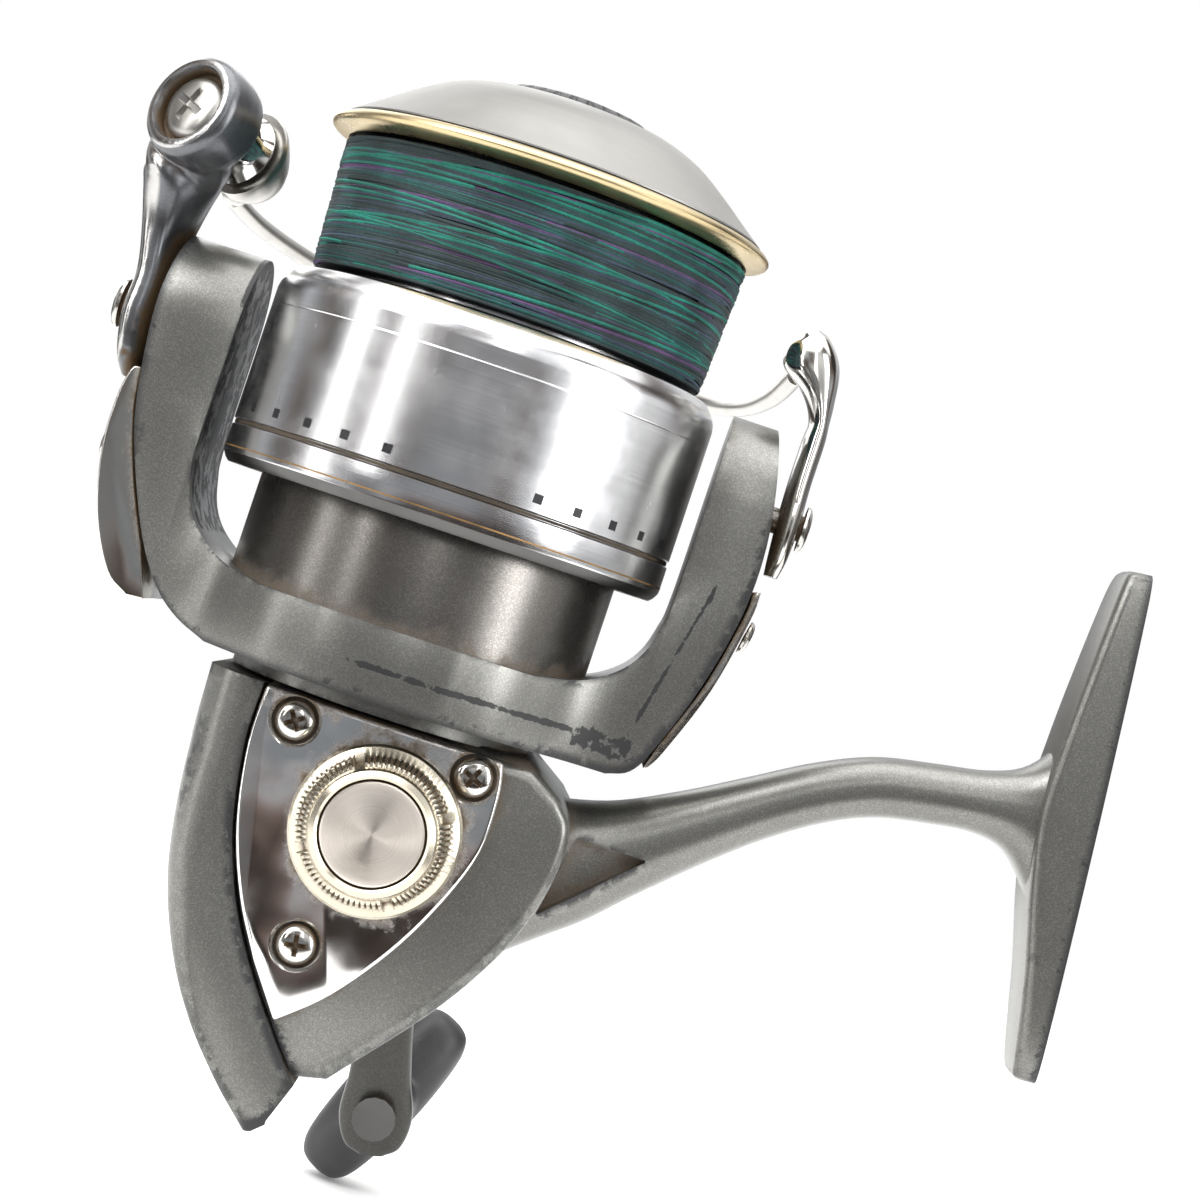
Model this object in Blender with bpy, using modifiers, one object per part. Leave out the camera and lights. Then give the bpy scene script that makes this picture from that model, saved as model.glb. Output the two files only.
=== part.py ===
"""A size 3000 front-drag spinning reel, as separate parts on their real joint axes.

Every length below is in millimetres, in the reel's own frame: Z runs up the spool's axis, X points to the
rod and Y to the crank. MM turns them into Blender's metres. The reel hangs under one empty, which puts the
middle of the foot's flat face at the world's origin.
"""

import math

import bmesh
import bpy
from mathutils import Vector

MM = 0.001
GAP = 0.3  # running clearance between neighbours

# Where the reel is held, and its axes
FOOT_FACE = Vector((82.45, 0.0, 25.0))
FOOT_TILT = math.radians(5.4)
CRANK_X = 5.0  # the drive shaft passes beside the main shaft
BAIL_PIVOT_Z = 47.0
CRANK_ANGLE = math.radians(11.0)
CRANK_RADIUS = 45.0
OSCILLATION_AXIS = Vector((1.0, 0.0, -14.4))
ECCENTRIC_RADIUS = 7.0
SLIDER_Z = -16.4
ROLLER_CENTRE = Vector((-36.0, -1.0, 68.3))
ROLLER_AXIS = Vector((-0.55, -0.81, 0.20)).normalized()
KNOB_AXIS = Vector((CRANK_X + CRANK_RADIUS * math.sin(CRANK_ANGLE), 0.0,
                    -CRANK_RADIUS * math.cos(CRANK_ANGLE)))

# Thicknesses and radii that several parts share
SHAFT_R = 1.9
PINION_R = 3.5
NEAR_WALL = (-16.2, -13.5)  # side cover, across Y
FAR_WALL = (12.6, 15.0)
REAR_COVER_Y = (-17.0, 15.6)
PLATE_Y = (-17.6, -16.5)
HOUSING_TOP = 12.2
COVER_TOP = 11.5
WALL = 1.8
CARRIER_Z = (15.2, 19.8)  # bearing carrier in the housing's nose
COLLAR_R = 17.9
WEB_Z = (26.2, 29.4)  # rotor web
DRUM_R = 21.5
RIM_R = 24.2
ARM_HALF = 10.0
SKIRT_R = 26.5
LINE_R = 24.0
WIRE_R = 1.1

# Outlines seen along Y, as (x, z)
REAR_EDGE = [(-18.7, 11.5), (-18.3, 3.4), (-17.4, -4.6), (-15.6, -12.6), (-12.3, -20.2), (-8.3, -26.3),
             (-3.2, -32.0), (1.4, -36.2)]
PARTING = [(-11.9, 11.5), (-11.9, 4.8), (-10.3, -4.2), (-7.4, -12.0), (-3.7, -18.4), (0.9, -24.6),
           (5.2, -29.8)]
RIGHT_EDGE = [(8.4, -28.2), (16.8, -17.9), (21.6, -10.3), (24.2, -4.1), (25.4, 1.7), (25.2, 6.6),
              (23.2, 9.2), (18.5, 12.2)]
PLATE_RIGHT = [(0.9, -23.6), (6.0, -18.9), (10.9, -12.2), (14.4, -5.4), (16.6, 1.2), (16.7, 7.4),
               (16.0, 11.4)]
PLATE_LEFT = [(-11.2, 11.4), (-11.3, 4.8), (-9.7, -4.0), (-6.8, -11.6), (-3.1, -17.9)]
SIDE_SCREWS = [(-7.3, 8.6), (13.3, 8.8), (0.6, -14.8)]
BAND_OUTER_RIGHT = [(33.4, 58.0), (35.4, 49.0), (36.3, 42.0), (36.0, 34.7), (34.2, 26.0), (31.4, 17.8),
                    (29.6, 14.6), (27.0, 13.5)]
BAND_OUTER_LEFT = [(-20.0, 13.5), (-24.0, 14.9), (-27.4, 17.4), (-30.6, 21.9), (-33.6, 28.3),
                   (-36.0, 35.0), (-37.4, 43.4), (-37.8, 50.0), (-37.4, 58.0)]
BAND_INNER = [(28.3, 58.0), (28.3, 36.0), (27.8, 30.8), (26.6, 27.2), (24.4, 24.6), (21.0, 22.6),
              (16.0, 21.6)]
BAND_PLAN = [(7.0, 23.2), (13.0, 20.4), (17.6, 16.8), (21.6, 13.4), (26.0, 11.4), (31.0, 10.5),
             (41.0, 10.0)]
BAND_SIDE = [(25.0, 12.0), (25.0, 23.0), (17.5, 26.0), (12.8, 30.0), (10.6, 35.0), (ARM_HALF, BAIL_PIVOT_Z)]

COLOURS = {
    "paint": ((0.33, 0.33, 0.32), 0.38, 0.75),
    "chrome": ((0.80, 0.80, 0.79), 0.08, 1.0),
    "aluminium": ((0.72, 0.73, 0.74), 0.22, 1.0),
    "satin": ((0.62, 0.61, 0.58), 0.38, 0.9),
    "gold": ((0.62, 0.50, 0.28), 0.25, 1.0),
    "steel": ((0.55, 0.55, 0.55), 0.25, 1.0),
    "brass": ((0.60, 0.46, 0.22), 0.35, 1.0),
    "zinc": ((0.45, 0.45, 0.44), 0.45, 0.9),
    "plastic": ((0.06, 0.06, 0.06), 0.55, 0.0),
    "rubber": ((0.07, 0.07, 0.075), 0.7, 0.0),
    "felt": ((0.25, 0.24, 0.22), 0.95, 0.0),
    "braid": ((0.04, 0.13, 0.13), 0.7, 0.0),
}


# --- scene, frame and materials -------------------------------------------------------------------------

for old in list(bpy.data.objects):
    bpy.data.objects.remove(old)

REEL = bpy.data.collections.new("spinning_reel")
CUTTERS = bpy.data.collections.new("cutters")
CUTTERS.hide_render = True
for collection in (REEL, CUTTERS):
    bpy.context.scene.collection.children.link(collection)


def new_empty(name, at, parent=None):
    empty = bpy.data.objects.new(name, None)
    empty.empty_display_size = 5 * MM
    empty.location = Vector(at) * MM
    empty.parent = parent
    REEL.objects.link(empty)
    return empty


WHOLE = new_empty("spinning_reel_frame", -FOOT_FACE)
AXES = {
    "body": Vector((0, 0, 0)),
    "rotor": Vector((0, 0, 0)),
    "main_shaft": Vector((0, 0, 0)),
    "spool": Vector((0, 0, 60.0)),
    "drag_knob": Vector((0, 0, 82.0)),
    "handle": Vector((CRANK_X, 0, 0)),
    "handle_knob": KNOB_AXIS,
    "oscillation": OSCILLATION_AXIS,
    "bail": Vector((0, 0, BAIL_PIVOT_Z)),
    "line_roller": ROLLER_CENTRE,
}
BODIES = {name: new_empty(name + "_axis", at, WHOLE) for name, at in AXES.items()}


def material(name):
    found = bpy.data.materials.get(name)
    if found:
        return found
    colour, roughness, metallic = COLOURS[name]
    made = bpy.data.materials.new(name)
    made.use_nodes = True
    shader = made.node_tree.nodes["Principled BSDF"]
    shader.inputs["Base Color"].default_value = (*colour, 1.0)
    shader.inputs["Roughness"].default_value = roughness
    shader.inputs["Metallic"].default_value = metallic
    made.diffuse_color = (*colour, 1.0)
    return made


# --- modelling helpers ----------------------------------------------------------------------------------

def add_object(name, mesh, body, finish):
    """Links a mesh as a part of a body, or as a cutter where body is None."""
    thing = bpy.data.objects.new(name, mesh)
    thing.parent = WHOLE if body is None else BODIES[body]
    if body is None:
        thing.hide_render = True
        thing.display_type = "WIRE"
        CUTTERS.objects.link(thing)
        return thing
    thing.location = -AXES[body] * MM
    thing.data.materials.append(material(finish))
    REEL.objects.link(thing)
    return thing


def from_bmesh(name, bm, body, finish):
    bmesh.ops.recalc_face_normals(bm, faces=bm.faces)
    mesh = bpy.data.meshes.new(name)
    bm.to_mesh(mesh)
    bm.free()
    return add_object(name, mesh, body, finish)


def prism(name, outline, low, high, body=None, finish=None, along="Y"):
    """A flat outline pushed from low to high along an axis. The outline's pairs are (x, z), (x, y) or (y, z)."""
    corner = {"X": lambda a, b, t: (t, a, b), "Y": lambda a, b, t: (a, t, b),
              "Z": lambda a, b, t: (a, b, t)}[along]
    bm = bmesh.new()
    face = bm.faces.new([bm.verts.new(Vector(corner(a, b, low)) * MM) for a, b in outline])
    side = bmesh.ops.extrude_face_region(bm, geom=[face])["geom"]
    shift = Vector(corner(0, 0, high - low)) * MM
    bmesh.ops.translate(bm, vec=shift, verts=[v for v in side if isinstance(v, bmesh.types.BMVert)])
    return from_bmesh(name, bm, body, finish)


def box(name, low, high, body=None, finish=None):
    outline = [(low[0], low[2]), (high[0], low[2]), (high[0], high[2]), (low[0], high[2])]
    return prism(name, outline, low[1], high[1], body, finish)


def turned(name, profile, body=None, finish=None, at=(0, 0, 0), axis=(0, 0, 1), steps=32):
    """A profile of (radius, height), top to bottom down its outside, turned about an axis through a point."""
    bm = bmesh.new()
    points = [bm.verts.new((r * MM, 0, h * MM)) for r, h in profile]
    for here, after in zip(points, points[1:]):
        bm.edges.new((here, after))
    if profile[0][0] > 0 and profile[-1][0] > 0:
        bm.edges.new((points[-1], points[0]))
    mesh = bpy.data.meshes.new(name)
    bm.to_mesh(mesh)
    bm.free()
    thing = add_object(name, mesh, body, finish)
    turn = thing.modifiers.new("turn", "SCREW")
    turn.steps = turn.render_steps = steps
    turn.use_merge_vertices = True
    turn.merge_threshold = 0.00001
    turn.use_smooth_shade = True
    thing.rotation_mode = "QUATERNION"
    thing.rotation_quaternion = Vector((0, 0, 1)).rotation_difference(Vector(axis))
    thing.location = thing.location + Vector(at) * MM
    return thing


def ring(name, inner, outer, low, high, body=None, finish=None, at=(0, 0, 0), axis=(0, 0, 1), steps=32):
    """A plain washer or tube."""
    profile = [(outer, high), (outer, low), (inner, low), (inner, high)]
    return turned(name, profile, body, finish, at, axis, steps)


def rod(name, radius, low, high, body=None, finish=None, at=(0, 0, 0), axis=(0, 0, 1), steps=16):
    edge = min(0.2, radius / 4)
    profile = [(0, high), (radius - edge, high), (radius, high - edge), (radius, low + edge),
               (radius - edge, low), (0, low)]
    return turned(name, profile, body, finish, at, axis, steps)


def wire(name, points, radius, body, finish, sides=2):
    """A bent rod: a curve object through points, with filled ends."""
    curve = bpy.data.curves.new(name, "CURVE")
    curve.dimensions = "3D"
    curve.bevel_depth = radius * MM
    curve.bevel_resolution = sides
    curve.use_fill_caps = True
    spline = curve.splines.new("POLY")
    spline.points.add(len(points) - 1)
    for point, place in zip(spline.points, points):
        point.co = (*(Vector(place) * MM), 1)
    spline.use_smooth = True
    return add_object(name, curve, body, finish)


def smooth_path(points, count):
    """Points along a Catmull-Rom curve through the given ones, evenly in the curve's own parameter."""
    knots = [Vector(p) for p in points]
    knots = [2 * knots[0] - knots[1], *knots, 2 * knots[-1] - knots[-2]]
    spans = len(knots) - 3
    path = []
    for step in range(count):
        t = step * spans / (count - 1)
        i = min(int(t), spans - 1)
        t -= i
        a, b, c, d = knots[i:i + 4]
        path.append(0.5 * (2 * b + (c - a) * t + (2 * a - 5 * b + 4 * c - d) * t ** 2
                           + (3 * b - a - 3 * c + d) * t ** 3))
    return path


def coil(x, radius, low, high, turns, per_turn):
    """A helical spring's points, about an upright line through (x, 0)."""
    count = turns * per_turn
    return [(x + radius * math.cos(2 * math.pi * k / per_turn), radius * math.sin(2 * math.pi * k / per_turn),
             low + (high - low) * k / count) for k in range(count + 1)]


def loft(name, stations, body=None, finish=None, sides=12, power=2.6):
    """Rounded sections joined up. Each station is (centre, width direction, half width, thickness
    direction, half thickness)."""
    bm = bmesh.new()
    rings = []
    for centre, across, half_width, through, half_thick in stations:
        loop = []
        for k in range(sides):
            angle = 2 * math.pi * (k + 0.5) / sides
            c, s = math.cos(angle), math.sin(angle)
            u = math.copysign(abs(c) ** (2 / power), c) * half_width
            v = math.copysign(abs(s) ** (2 / power), s) * half_thick
            place = Vector(centre) + Vector(across).normalized() * u + Vector(through).normalized() * v
            loop.append(bm.verts.new(place * MM))
        rings.append(loop)
    for here, after in zip(rings, rings[1:]):
        for k in range(sides):
            bm.faces.new((here[k], here[(k + 1) % sides], after[(k + 1) % sides], after[k]))
    bm.faces.new(rings[0])
    bm.faces.new(rings[-1])
    thing = from_bmesh(name, bm, body, finish)
    thing.data.shade_smooth()
    return thing


def flare(name, bend, start, body, finish):
    """A round horn along a bend of (centre, radius), whose first two sections face a given way."""
    stations = []
    for k, (centre, radius) in enumerate(bend):
        toward = Vector(start)
        if k > 1:
            toward = (centre - bend[k - 1][0]).normalized()
        across = toward.cross(Vector((0, 0, 1))).normalized()
        stations.append((centre, across, radius, toward.cross(across), radius))
    return loft(name, stations, body, finish, sides=14, power=2.0)


def combine(thing, other, how):
    step = thing.modifiers.new(other.name, "BOOLEAN")
    step.operation = how
    step.solver = "EXACT"
    step.object = other


def cut(thing, *cutters):
    for cutter in cutters:
        combine(thing, cutter, "DIFFERENCE")
    return thing


def join(thing, *others):
    for other in others:
        combine(thing, other, "UNION")
    return thing


def keep(thing, other):
    combine(thing, other, "INTERSECT")
    return thing


def soften(thing, width, segments=2, angle=35.0):
    """Rounds the edges sharper than an angle."""
    step = thing.modifiers.new("soften", "BEVEL")
    step.width = width * MM
    step.segments = segments
    step.limit_method = "ANGLE"
    step.angle_limit = math.radians(angle)
    return thing


def toothed(teeth, root, tip, phase=0.0, centre=(0, 0), tooth=0.5):
    """A gear's outline: each tooth is a narrow flat on a wider root."""
    points = []
    pitch = 2 * math.pi / teeth
    for k in range(teeth):
        middle = phase + k * pitch
        for shift, radius in ((-0.5 * tooth, root), (-0.2 * tooth, tip), (0.2 * tooth, tip), (0.5 * tooth, root)):
            angle = middle + shift * pitch
            points.append((centre[0] + radius * math.cos(angle), centre[1] + radius * math.sin(angle)))
    return points


def stadium(centre, half_length, radius, steps=6):
    """A slot's outline: two half circles joined by straight sides, lying along the first axis."""
    points = []
    for side in (1, -1):
        for k in range(steps + 1):
            angle = math.pi * (k / steps - 0.5) + (0 if side == 1 else math.pi)
            points.append((centre[0] + side * half_length + radius * math.cos(angle),
                           centre[1] + radius * math.sin(angle)))
    return points


def cross_slot(name, centre, axis, length, width, depth):
    """A cutter for a cross-head screw's recess, into the head from its outer face."""
    a, b = length / 2, width / 2
    quarter = [(a, -b), (a, b), (b, b), (b, a), (-b, a), (-b, b)]
    slot = prism(name, quarter + [(-x, -y) for x, y in quarter], -depth, depth, along="Z")
    slot.rotation_mode = "QUATERNION"
    slot.rotation_quaternion = Vector((0, 0, 1)).rotation_difference(Vector(axis))
    slot.location = Vector(centre) * MM
    return slot


def pan_screw(name, at, axis, head_r, head_h, shank_r, shank_length, body, finish="chrome"):
    """A cross-head screw with its head's underside at a point and its head out along an axis."""
    dome = [(0, head_h), (head_r * 0.65, head_h * 0.92), (head_r, 0.35 * head_h), (head_r, 0),
            (shank_r, 0), (shank_r, -shank_length), (0, -shank_length)]
    screw = turned(name, dome, body, finish, at, axis, 14)
    top = Vector(at) + Vector(axis).normalized() * head_h
    return cut(screw, cross_slot(name + "_slot", top, axis, 1.1 * head_r, 0.2 * head_r, 0.45 * head_h))


# --- housing --------------------------------------------------------------------------------------------

def inset(outline, distance):
    """The outline moved inwards, for the wall's inner face. The outline runs anticlockwise."""
    moved = []
    count = len(outline)
    for k in range(count):
        before, here, after = (Vector(outline[(k + d) % count]) for d in (-1, 0, 1))
        first = (here - before).normalized()
        second = (after - here).normalized()
        normal = Vector((-first.y - second.y, first.x + second.x)).normalized()
        lean = max(0.5, normal.dot(Vector((-first.y, first.x))))
        moved.append(tuple(here + normal * (distance / lean)))
    return moved


def housing_outline(top):
    """The housing's side in front of the parting line, up to a height."""
    start, end = PARTING[0], RIGHT_EDGE[-1]
    left = [(start[0] + GAP, top)] + [(x + GAP, z) for x, z in PARTING[1:]]
    return left + RIGHT_EDGE[:-1] + [(end[0] + HOUSING_TOP - top, top)]


CAVITY = inset(REAR_EDGE[:-1] + [(3.0, -29.5)] + RIGHT_EDGE, WALL)


def make_stem():
    """The stem's sections follow its centre line from the housing to the foot."""
    shape = [((18.6, -1.6), 40.0, 9.6, 8.4), ((25.0, 1.2), 38.0, 7.9, 7.6), ((32.0, 5.4), 34.0, 5.6, 6.3),
             ((38.5, 9.9), 33.0, 4.4, 5.5), ((45.0, 14.5), 32.0, 3.7, 5.0), ((51.5, 18.6), 26.0, 3.5, 4.8),
             ((57.5, 21.3), 15.0, 3.5, 4.7), ((64.0, 22.7), 6.0, 3.5, 4.8), ((69.5, 23.6), 2.0, 3.7, 5.0),
             ((73.6, 24.2), 0.0, 5.0, 5.3), ((76.6, 24.8), 0.0, 8.2, 5.6), ((79.0, 25.0), 0.0, 11.5, 5.6)]
    stations = []
    for (x, z), slope, half_height, half_width in shape:
        turn = math.radians(slope)
        stations.append(((x, 0, z), (0, 1, 0), half_width, (-math.sin(turn), 0, math.cos(turn)), half_height))
    return loft("stem_form", stations, sides=16, power=2.5)


def make_foot():
    """The foot's plate: flat against the rod, tapering to both ends, tilted to the spool's axis."""
    along = Vector((-math.sin(FOOT_TILT), 0, math.cos(FOOT_TILT)))
    out = Vector((math.cos(FOOT_TILT), 0, math.sin(FOOT_TILT)))
    shape = [(-30.2, 3.6, 1.1), (-29.4, 4.6, 1.35), (-26.0, 5.4, 1.6), (-18.0, 6.0, 2.1), (-9.0, 6.3, 2.9),
             (0.0, 6.4, 3.4), (9.0, 6.3, 3.0), (18.0, 6.0, 2.4), (26.0, 5.4, 1.8), (28.9, 4.6, 1.5), (29.7, 3.6, 1.2)]
    bm = bmesh.new()
    rings = []
    for s, half_width, half_thick in shape:
        face = FOOT_FACE + along * s
        section = ((0.0, half_width), (2 * half_thick - 1.0, half_width), (2 * half_thick, half_width - 1.2),
                   (2 * half_thick, 1.2 - half_width), (2 * half_thick - 1.0, -half_width), (0.0, -half_width))
        rings.append([bm.verts.new((face - out * depth + Vector((0, y, 0))) * MM) for depth, y in section])
    for here, after in zip(rings, rings[1:]):
        for k in range(6):
            bm.faces.new((here[k], here[(k + 1) % 6], after[(k + 1) % 6], after[k]))
    bm.faces.new(rings[0])
    bm.faces.new(rings[-1])
    return from_bmesh("foot_form", bm, None, None)


def make_housing():
    frame = prism("body_frame", housing_outline(HOUSING_TOP), NEAR_WALL[1] + GAP, FAR_WALL[1], "body", "paint")
    soften(frame, 1.2, 2, 50)
    nose = turned("nose_form", [(0, CARRIER_Z[1]), (COLLAR_R - 0.5, CARRIER_Z[1]), (COLLAR_R, CARRIER_Z[1] - 0.5),
                                (COLLAR_R, HOUSING_TOP - 0.3), (0, HOUSING_TOP - 0.3)], steps=40)
    stem = make_stem()
    for side, low, high in (("near", -12.0, -5.2), ("far", 5.2, 12.0)):
        cut(stem, prism(f"stem_pocket_{side}", [(27.6, -1.6), (34.6, 4.2), (27.6, 5.0)], low, high))
    join(frame, stem, make_foot(), nose)
    cut(frame, prism("frame_cavity", CAVITY, NEAR_WALL[1] - 2, FAR_WALL[0]))
    well = []
    for k in range(32):
        angle = 2 * math.pi * (k + 0.5) / 32
        reach = 15.9 * math.sin(angle)
        well.append((15.9 * math.cos(angle), max(NEAR_WALL[1] + 1.2, min(FAR_WALL[0] - 0.2, reach))))
    cut(frame, prism("top_opening", well, 8.0, HOUSING_TOP, along="Z"))
    cut(frame, rod("nose_well", 16.3, HOUSING_TOP - 0.2, CARRIER_Z[0], steps=40))
    cut(frame, rod("front_bearing_hole", 7.8, 10.0, 21.0, steps=28))
    cut(frame, rod("gear_well", 15.4, -8.4, -3.5, at=(CRANK_X, 0, 0), axis=(0, -1, 0), steps=32))
    bridge = box("bridge_form", (-10.6, -5.0, 3.9), (24.4, 2.9, 6.9))
    join(frame, bridge)
    boss = rod("far_boss_form", 8.4, -19.0, -9.2, at=(CRANK_X, 0, 0), axis=(0, -1, 0), steps=32)
    join(frame, boss)
    cut(frame, rod("bush_hole", 4.5, 3.0, 8.0, steps=24))
    bearing_hole = [(0, -8.0), (6.8, -8.0), (6.8, -18.0), (4.1, -18.0), (4.1, -20.0), (0, -20.0)]
    cut(frame, turned("far_bearing_hole", bearing_hole, at=(CRANK_X, 0, 0), axis=(0, -1, 0), steps=28))

    rear = REAR_EDGE + [(3.6, -34.2)] + PARTING[::-1]
    cover = prism("rear_cover", rear, *REAR_COVER_Y, "body", "paint")
    soften(cover, 2.2, 3, 40)
    cut(cover, prism("rear_cavity", CAVITY, NEAR_WALL[1] - 1.0, FAR_WALL[0]))

    lid = prism("side_cover", housing_outline(COVER_TOP), *NEAR_WALL, "body", "paint")
    soften(lid, 1.5, 2, 50)
    join(lid, ring("near_boss_form", 5.2, 8.2, 11.6, 15.0, at=(CRANK_X, 0, 0), axis=(0, -1, 0)))
    cut(lid, rod("near_bearing_hole", 5.9, 11.0, 15.6, at=(CRANK_X, 0, 0), axis=(0, -1, 0), steps=24))
    cut(lid, rod("near_shaft_hole", 4.4, 15.0, 18.0, at=(CRANK_X, 0, 0), axis=(0, -1, 0), steps=24))

    plate = prism("side_plate", PLATE_LEFT + PLATE_RIGHT, *PLATE_Y, "body", "chrome")
    soften(plate, 0.3, 1, 50)
    for number, (x, z) in enumerate(SIDE_SCREWS, 1):
        cut(plate, rod(f"plate_hole_{number}", 2.65, 14.0, 20.0, at=(x, 0, z), axis=(0, -1, 0), steps=20))
        cut(lid, rod(f"cover_hole_{number}", 1.4, 12.0, 20.0, at=(x, 0, z), axis=(0, -1, 0), steps=12))
        pan_screw(f"side_screw_{number}", (x, NEAR_WALL[0] - GAP, z), (0, -1, 0), 2.3, 1.3, 1.1, 3.2, "body")


def make_side_cap():
    """The screwed cap over the near bearing: a knurled cone, a bright step and a spun disc."""
    near = (0, -1, 0)
    at = (CRANK_X, 0, 0)
    base = -PLATE_Y[0] + GAP
    profile = [(6.4, base + 5.6), (7.2, base + 5.2), (7.5, base + 4.6), (7.5, base + 3.0), (8.2, base + 2.7),
               (9.3, base + 1.5), (9.6, base + 1.2), (9.6, base), (5.4, base), (5.4, base + 4.2),
               (6.1, base + 4.6), (6.1, base + 5.5)]
    turned("side_cap", profile, "body", "chrome", at, near, 32)
    rod("side_cap_disc", 5.8, base + 4.9, base + 5.6, "body", "steel", at, near, 32)


def make_drive():
    far = (0, 1, 0)
    at = (CRANK_X, 0, 0)
    shaft = [(0, 22.5), (3.2, 22.5), (3.4, 22.2), (3.4, 8.4), (4.4, 8.2), (4.4, 5.5), (2.4, 5.0), (2.4, -15.2),
             (2.1, -15.5), (0, -15.5)]
    turned("drive_shaft", shaft, "handle", "steel", at, far, 20)
    ring("drive_bearing_far", 3.7, 6.5, 9.6, 14.2, "body", "steel", at, far, 20)
    ring("drive_bearing_near", 2.7, 5.6, -15.2, -12.0, "body", "steel", at, far, 20)

    teeth = 47
    tip, root, back = 4.2, 5.0, 7.8
    bm = bmesh.new()
    rings = []
    for radius, heights in ((11.3, (tip, root)), (14.6, (tip, root)), (14.6, (back, back)), (4.7, (back, back)),
                            (4.7, (root, root))):
        loop = []
        for k in range(2 * teeth):
            angle = math.pi * k / teeth
            loop.append(bm.verts.new(Vector((CRANK_X + radius * math.cos(angle), heights[k % 2],
                                             radius * math.sin(angle))) * MM))
        rings.append(loop)
    for number, here in enumerate(rings):
        after = rings[(number + 1) % len(rings)]
        for k in range(2 * teeth):
            nxt = (k + 1) % (2 * teeth)
            bm.faces.new((here[k], here[nxt], after[nxt], after[k]))
    from_bmesh("drive_gear", bm, "handle", "zinc")

    toward = math.atan2(OSCILLATION_AXIS.z, OSCILLATION_AXIS.x - CRANK_X)
    small = prism("oscillation_drive_gear", toothed(12, 3.9, 5.1, toward, (CRANK_X, 0.0), 0.42), -11.1, -9.2,
                  "handle", "brass")
    cut(small, rod("small_gear_bore", 2.7, -13.0, -8.0, at=at, axis=far, steps=16))
    centre = (OSCILLATION_AXIS.x, OSCILLATION_AXIS.z)
    big = prism("oscillation_gear", toothed(28, 9.8, 11.0, toward + math.pi + math.pi / 28, centre, 0.42), -11.1,
                -9.2, "oscillation", "plastic")
    pin_angle = math.asin((SLIDER_Z - OSCILLATION_AXIS.z) / ECCENTRIC_RADIUS)
    pin = (centre[0] + ECCENTRIC_RADIUS * math.cos(pin_angle), 0, SLIDER_Z)
    join(big, rod("eccentric_pin_form", 1.5, -9.6, -8.6, at=pin, axis=far, steps=12))
    cut(big, rod("big_gear_bore", 1.9, -13.0, -7.0, at=OSCILLATION_AXIS, axis=far, steps=14))
    stud = [(0, -8.7), (1.5, -8.7), (1.5, -11.5), (3.0, -11.5), (3.0, -13.1), (0, -13.1)]
    turned("oscillation_stud", stud, "body", "steel", OSCILLATION_AXIS, far, 14)


def make_slider():
    plate = prism("slider", stadium((OSCILLATION_AXIS.x, SLIDER_Z), ECCENTRIC_RADIUS, 2.3), -8.3, -5.0,
                  "main_shaft", "zinc")
    cut(plate, prism("slider_slot", stadium((OSCILLATION_AXIS.x, SLIDER_Z), ECCENTRIC_RADIUS, 1.6), -9.0, -6.2))
    join(plate, box("slider_block_form", (-7.3, -5.6, SLIDER_Z - 2.6), (3.4, 3.4, SLIDER_Z + 2.6)))
    cut(plate, rod("slider_bore", SHAFT_R + GAP, -25.0, -8.0, steps=16))
    cut(plate, rod("slider_rod_hole", 1.5, -25.0, -8.0, at=(-5.3, -2.5, 0), steps=12))
    pan_screw("slider_screw", (0, 0, SLIDER_Z - 2.9), (0, 0, -1), 3.0, 1.8, 1.5, 0.5, "main_shaft", "steel")
    rod("guide_rod", 1.2, -25.2, 3.5, "body", "steel", (-5.3, -2.5, 0), steps=12)


def make_spindle():
    shaft = [(0, 83.6), (1.6, 83.6), (SHAFT_R, 83.2), (SHAFT_R, -18.2), (1.6, -18.5), (0, -18.5)]
    turned("main_shaft", shaft, "main_shaft", "steel", steps=20)
    ring("spool_support_collar", SHAFT_R + GAP, 4.6, 45.0, 47.6, "main_shaft", "brass", steps=20)

    pinion = prism("pinion", toothed(10, 2.95, 3.9, 0.3, tooth=0.5), 8.7, 14.7, "rotor", "brass", "Z")
    tube = turned("pinion_tube_form", [(2.95, 8.9), (2.95, 4.2), (SHAFT_R + GAP, 4.2), (SHAFT_R + GAP, 33.4),
                                       (PINION_R - 0.3, 33.4), (PINION_R, 33.0), (PINION_R, 14.5), (2.95, 14.5)],
                  steps=24)
    join(pinion, tube)
    cut(pinion, rod("pinion_bore", SHAFT_R + GAP, 3.0, 35.0, steps=24))
    ring("pinion_rear_bush", 3.2, 4.2, 4.2, 6.7, "body", "brass", steps=20)
    ring("front_bearing", 3.8, 7.5, 15.5, 19.5, "body", "steel", steps=20)
    ring("one_way_clutch", 5.6, 10.4, 20.1, 25.6, "body", "steel", steps=24)
    ring("clutch_sleeve", 3.8, 5.3, 20.1, 25.9, "rotor", "steel", steps=20)


# --- rotor and bail -------------------------------------------------------------------------------------

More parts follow.
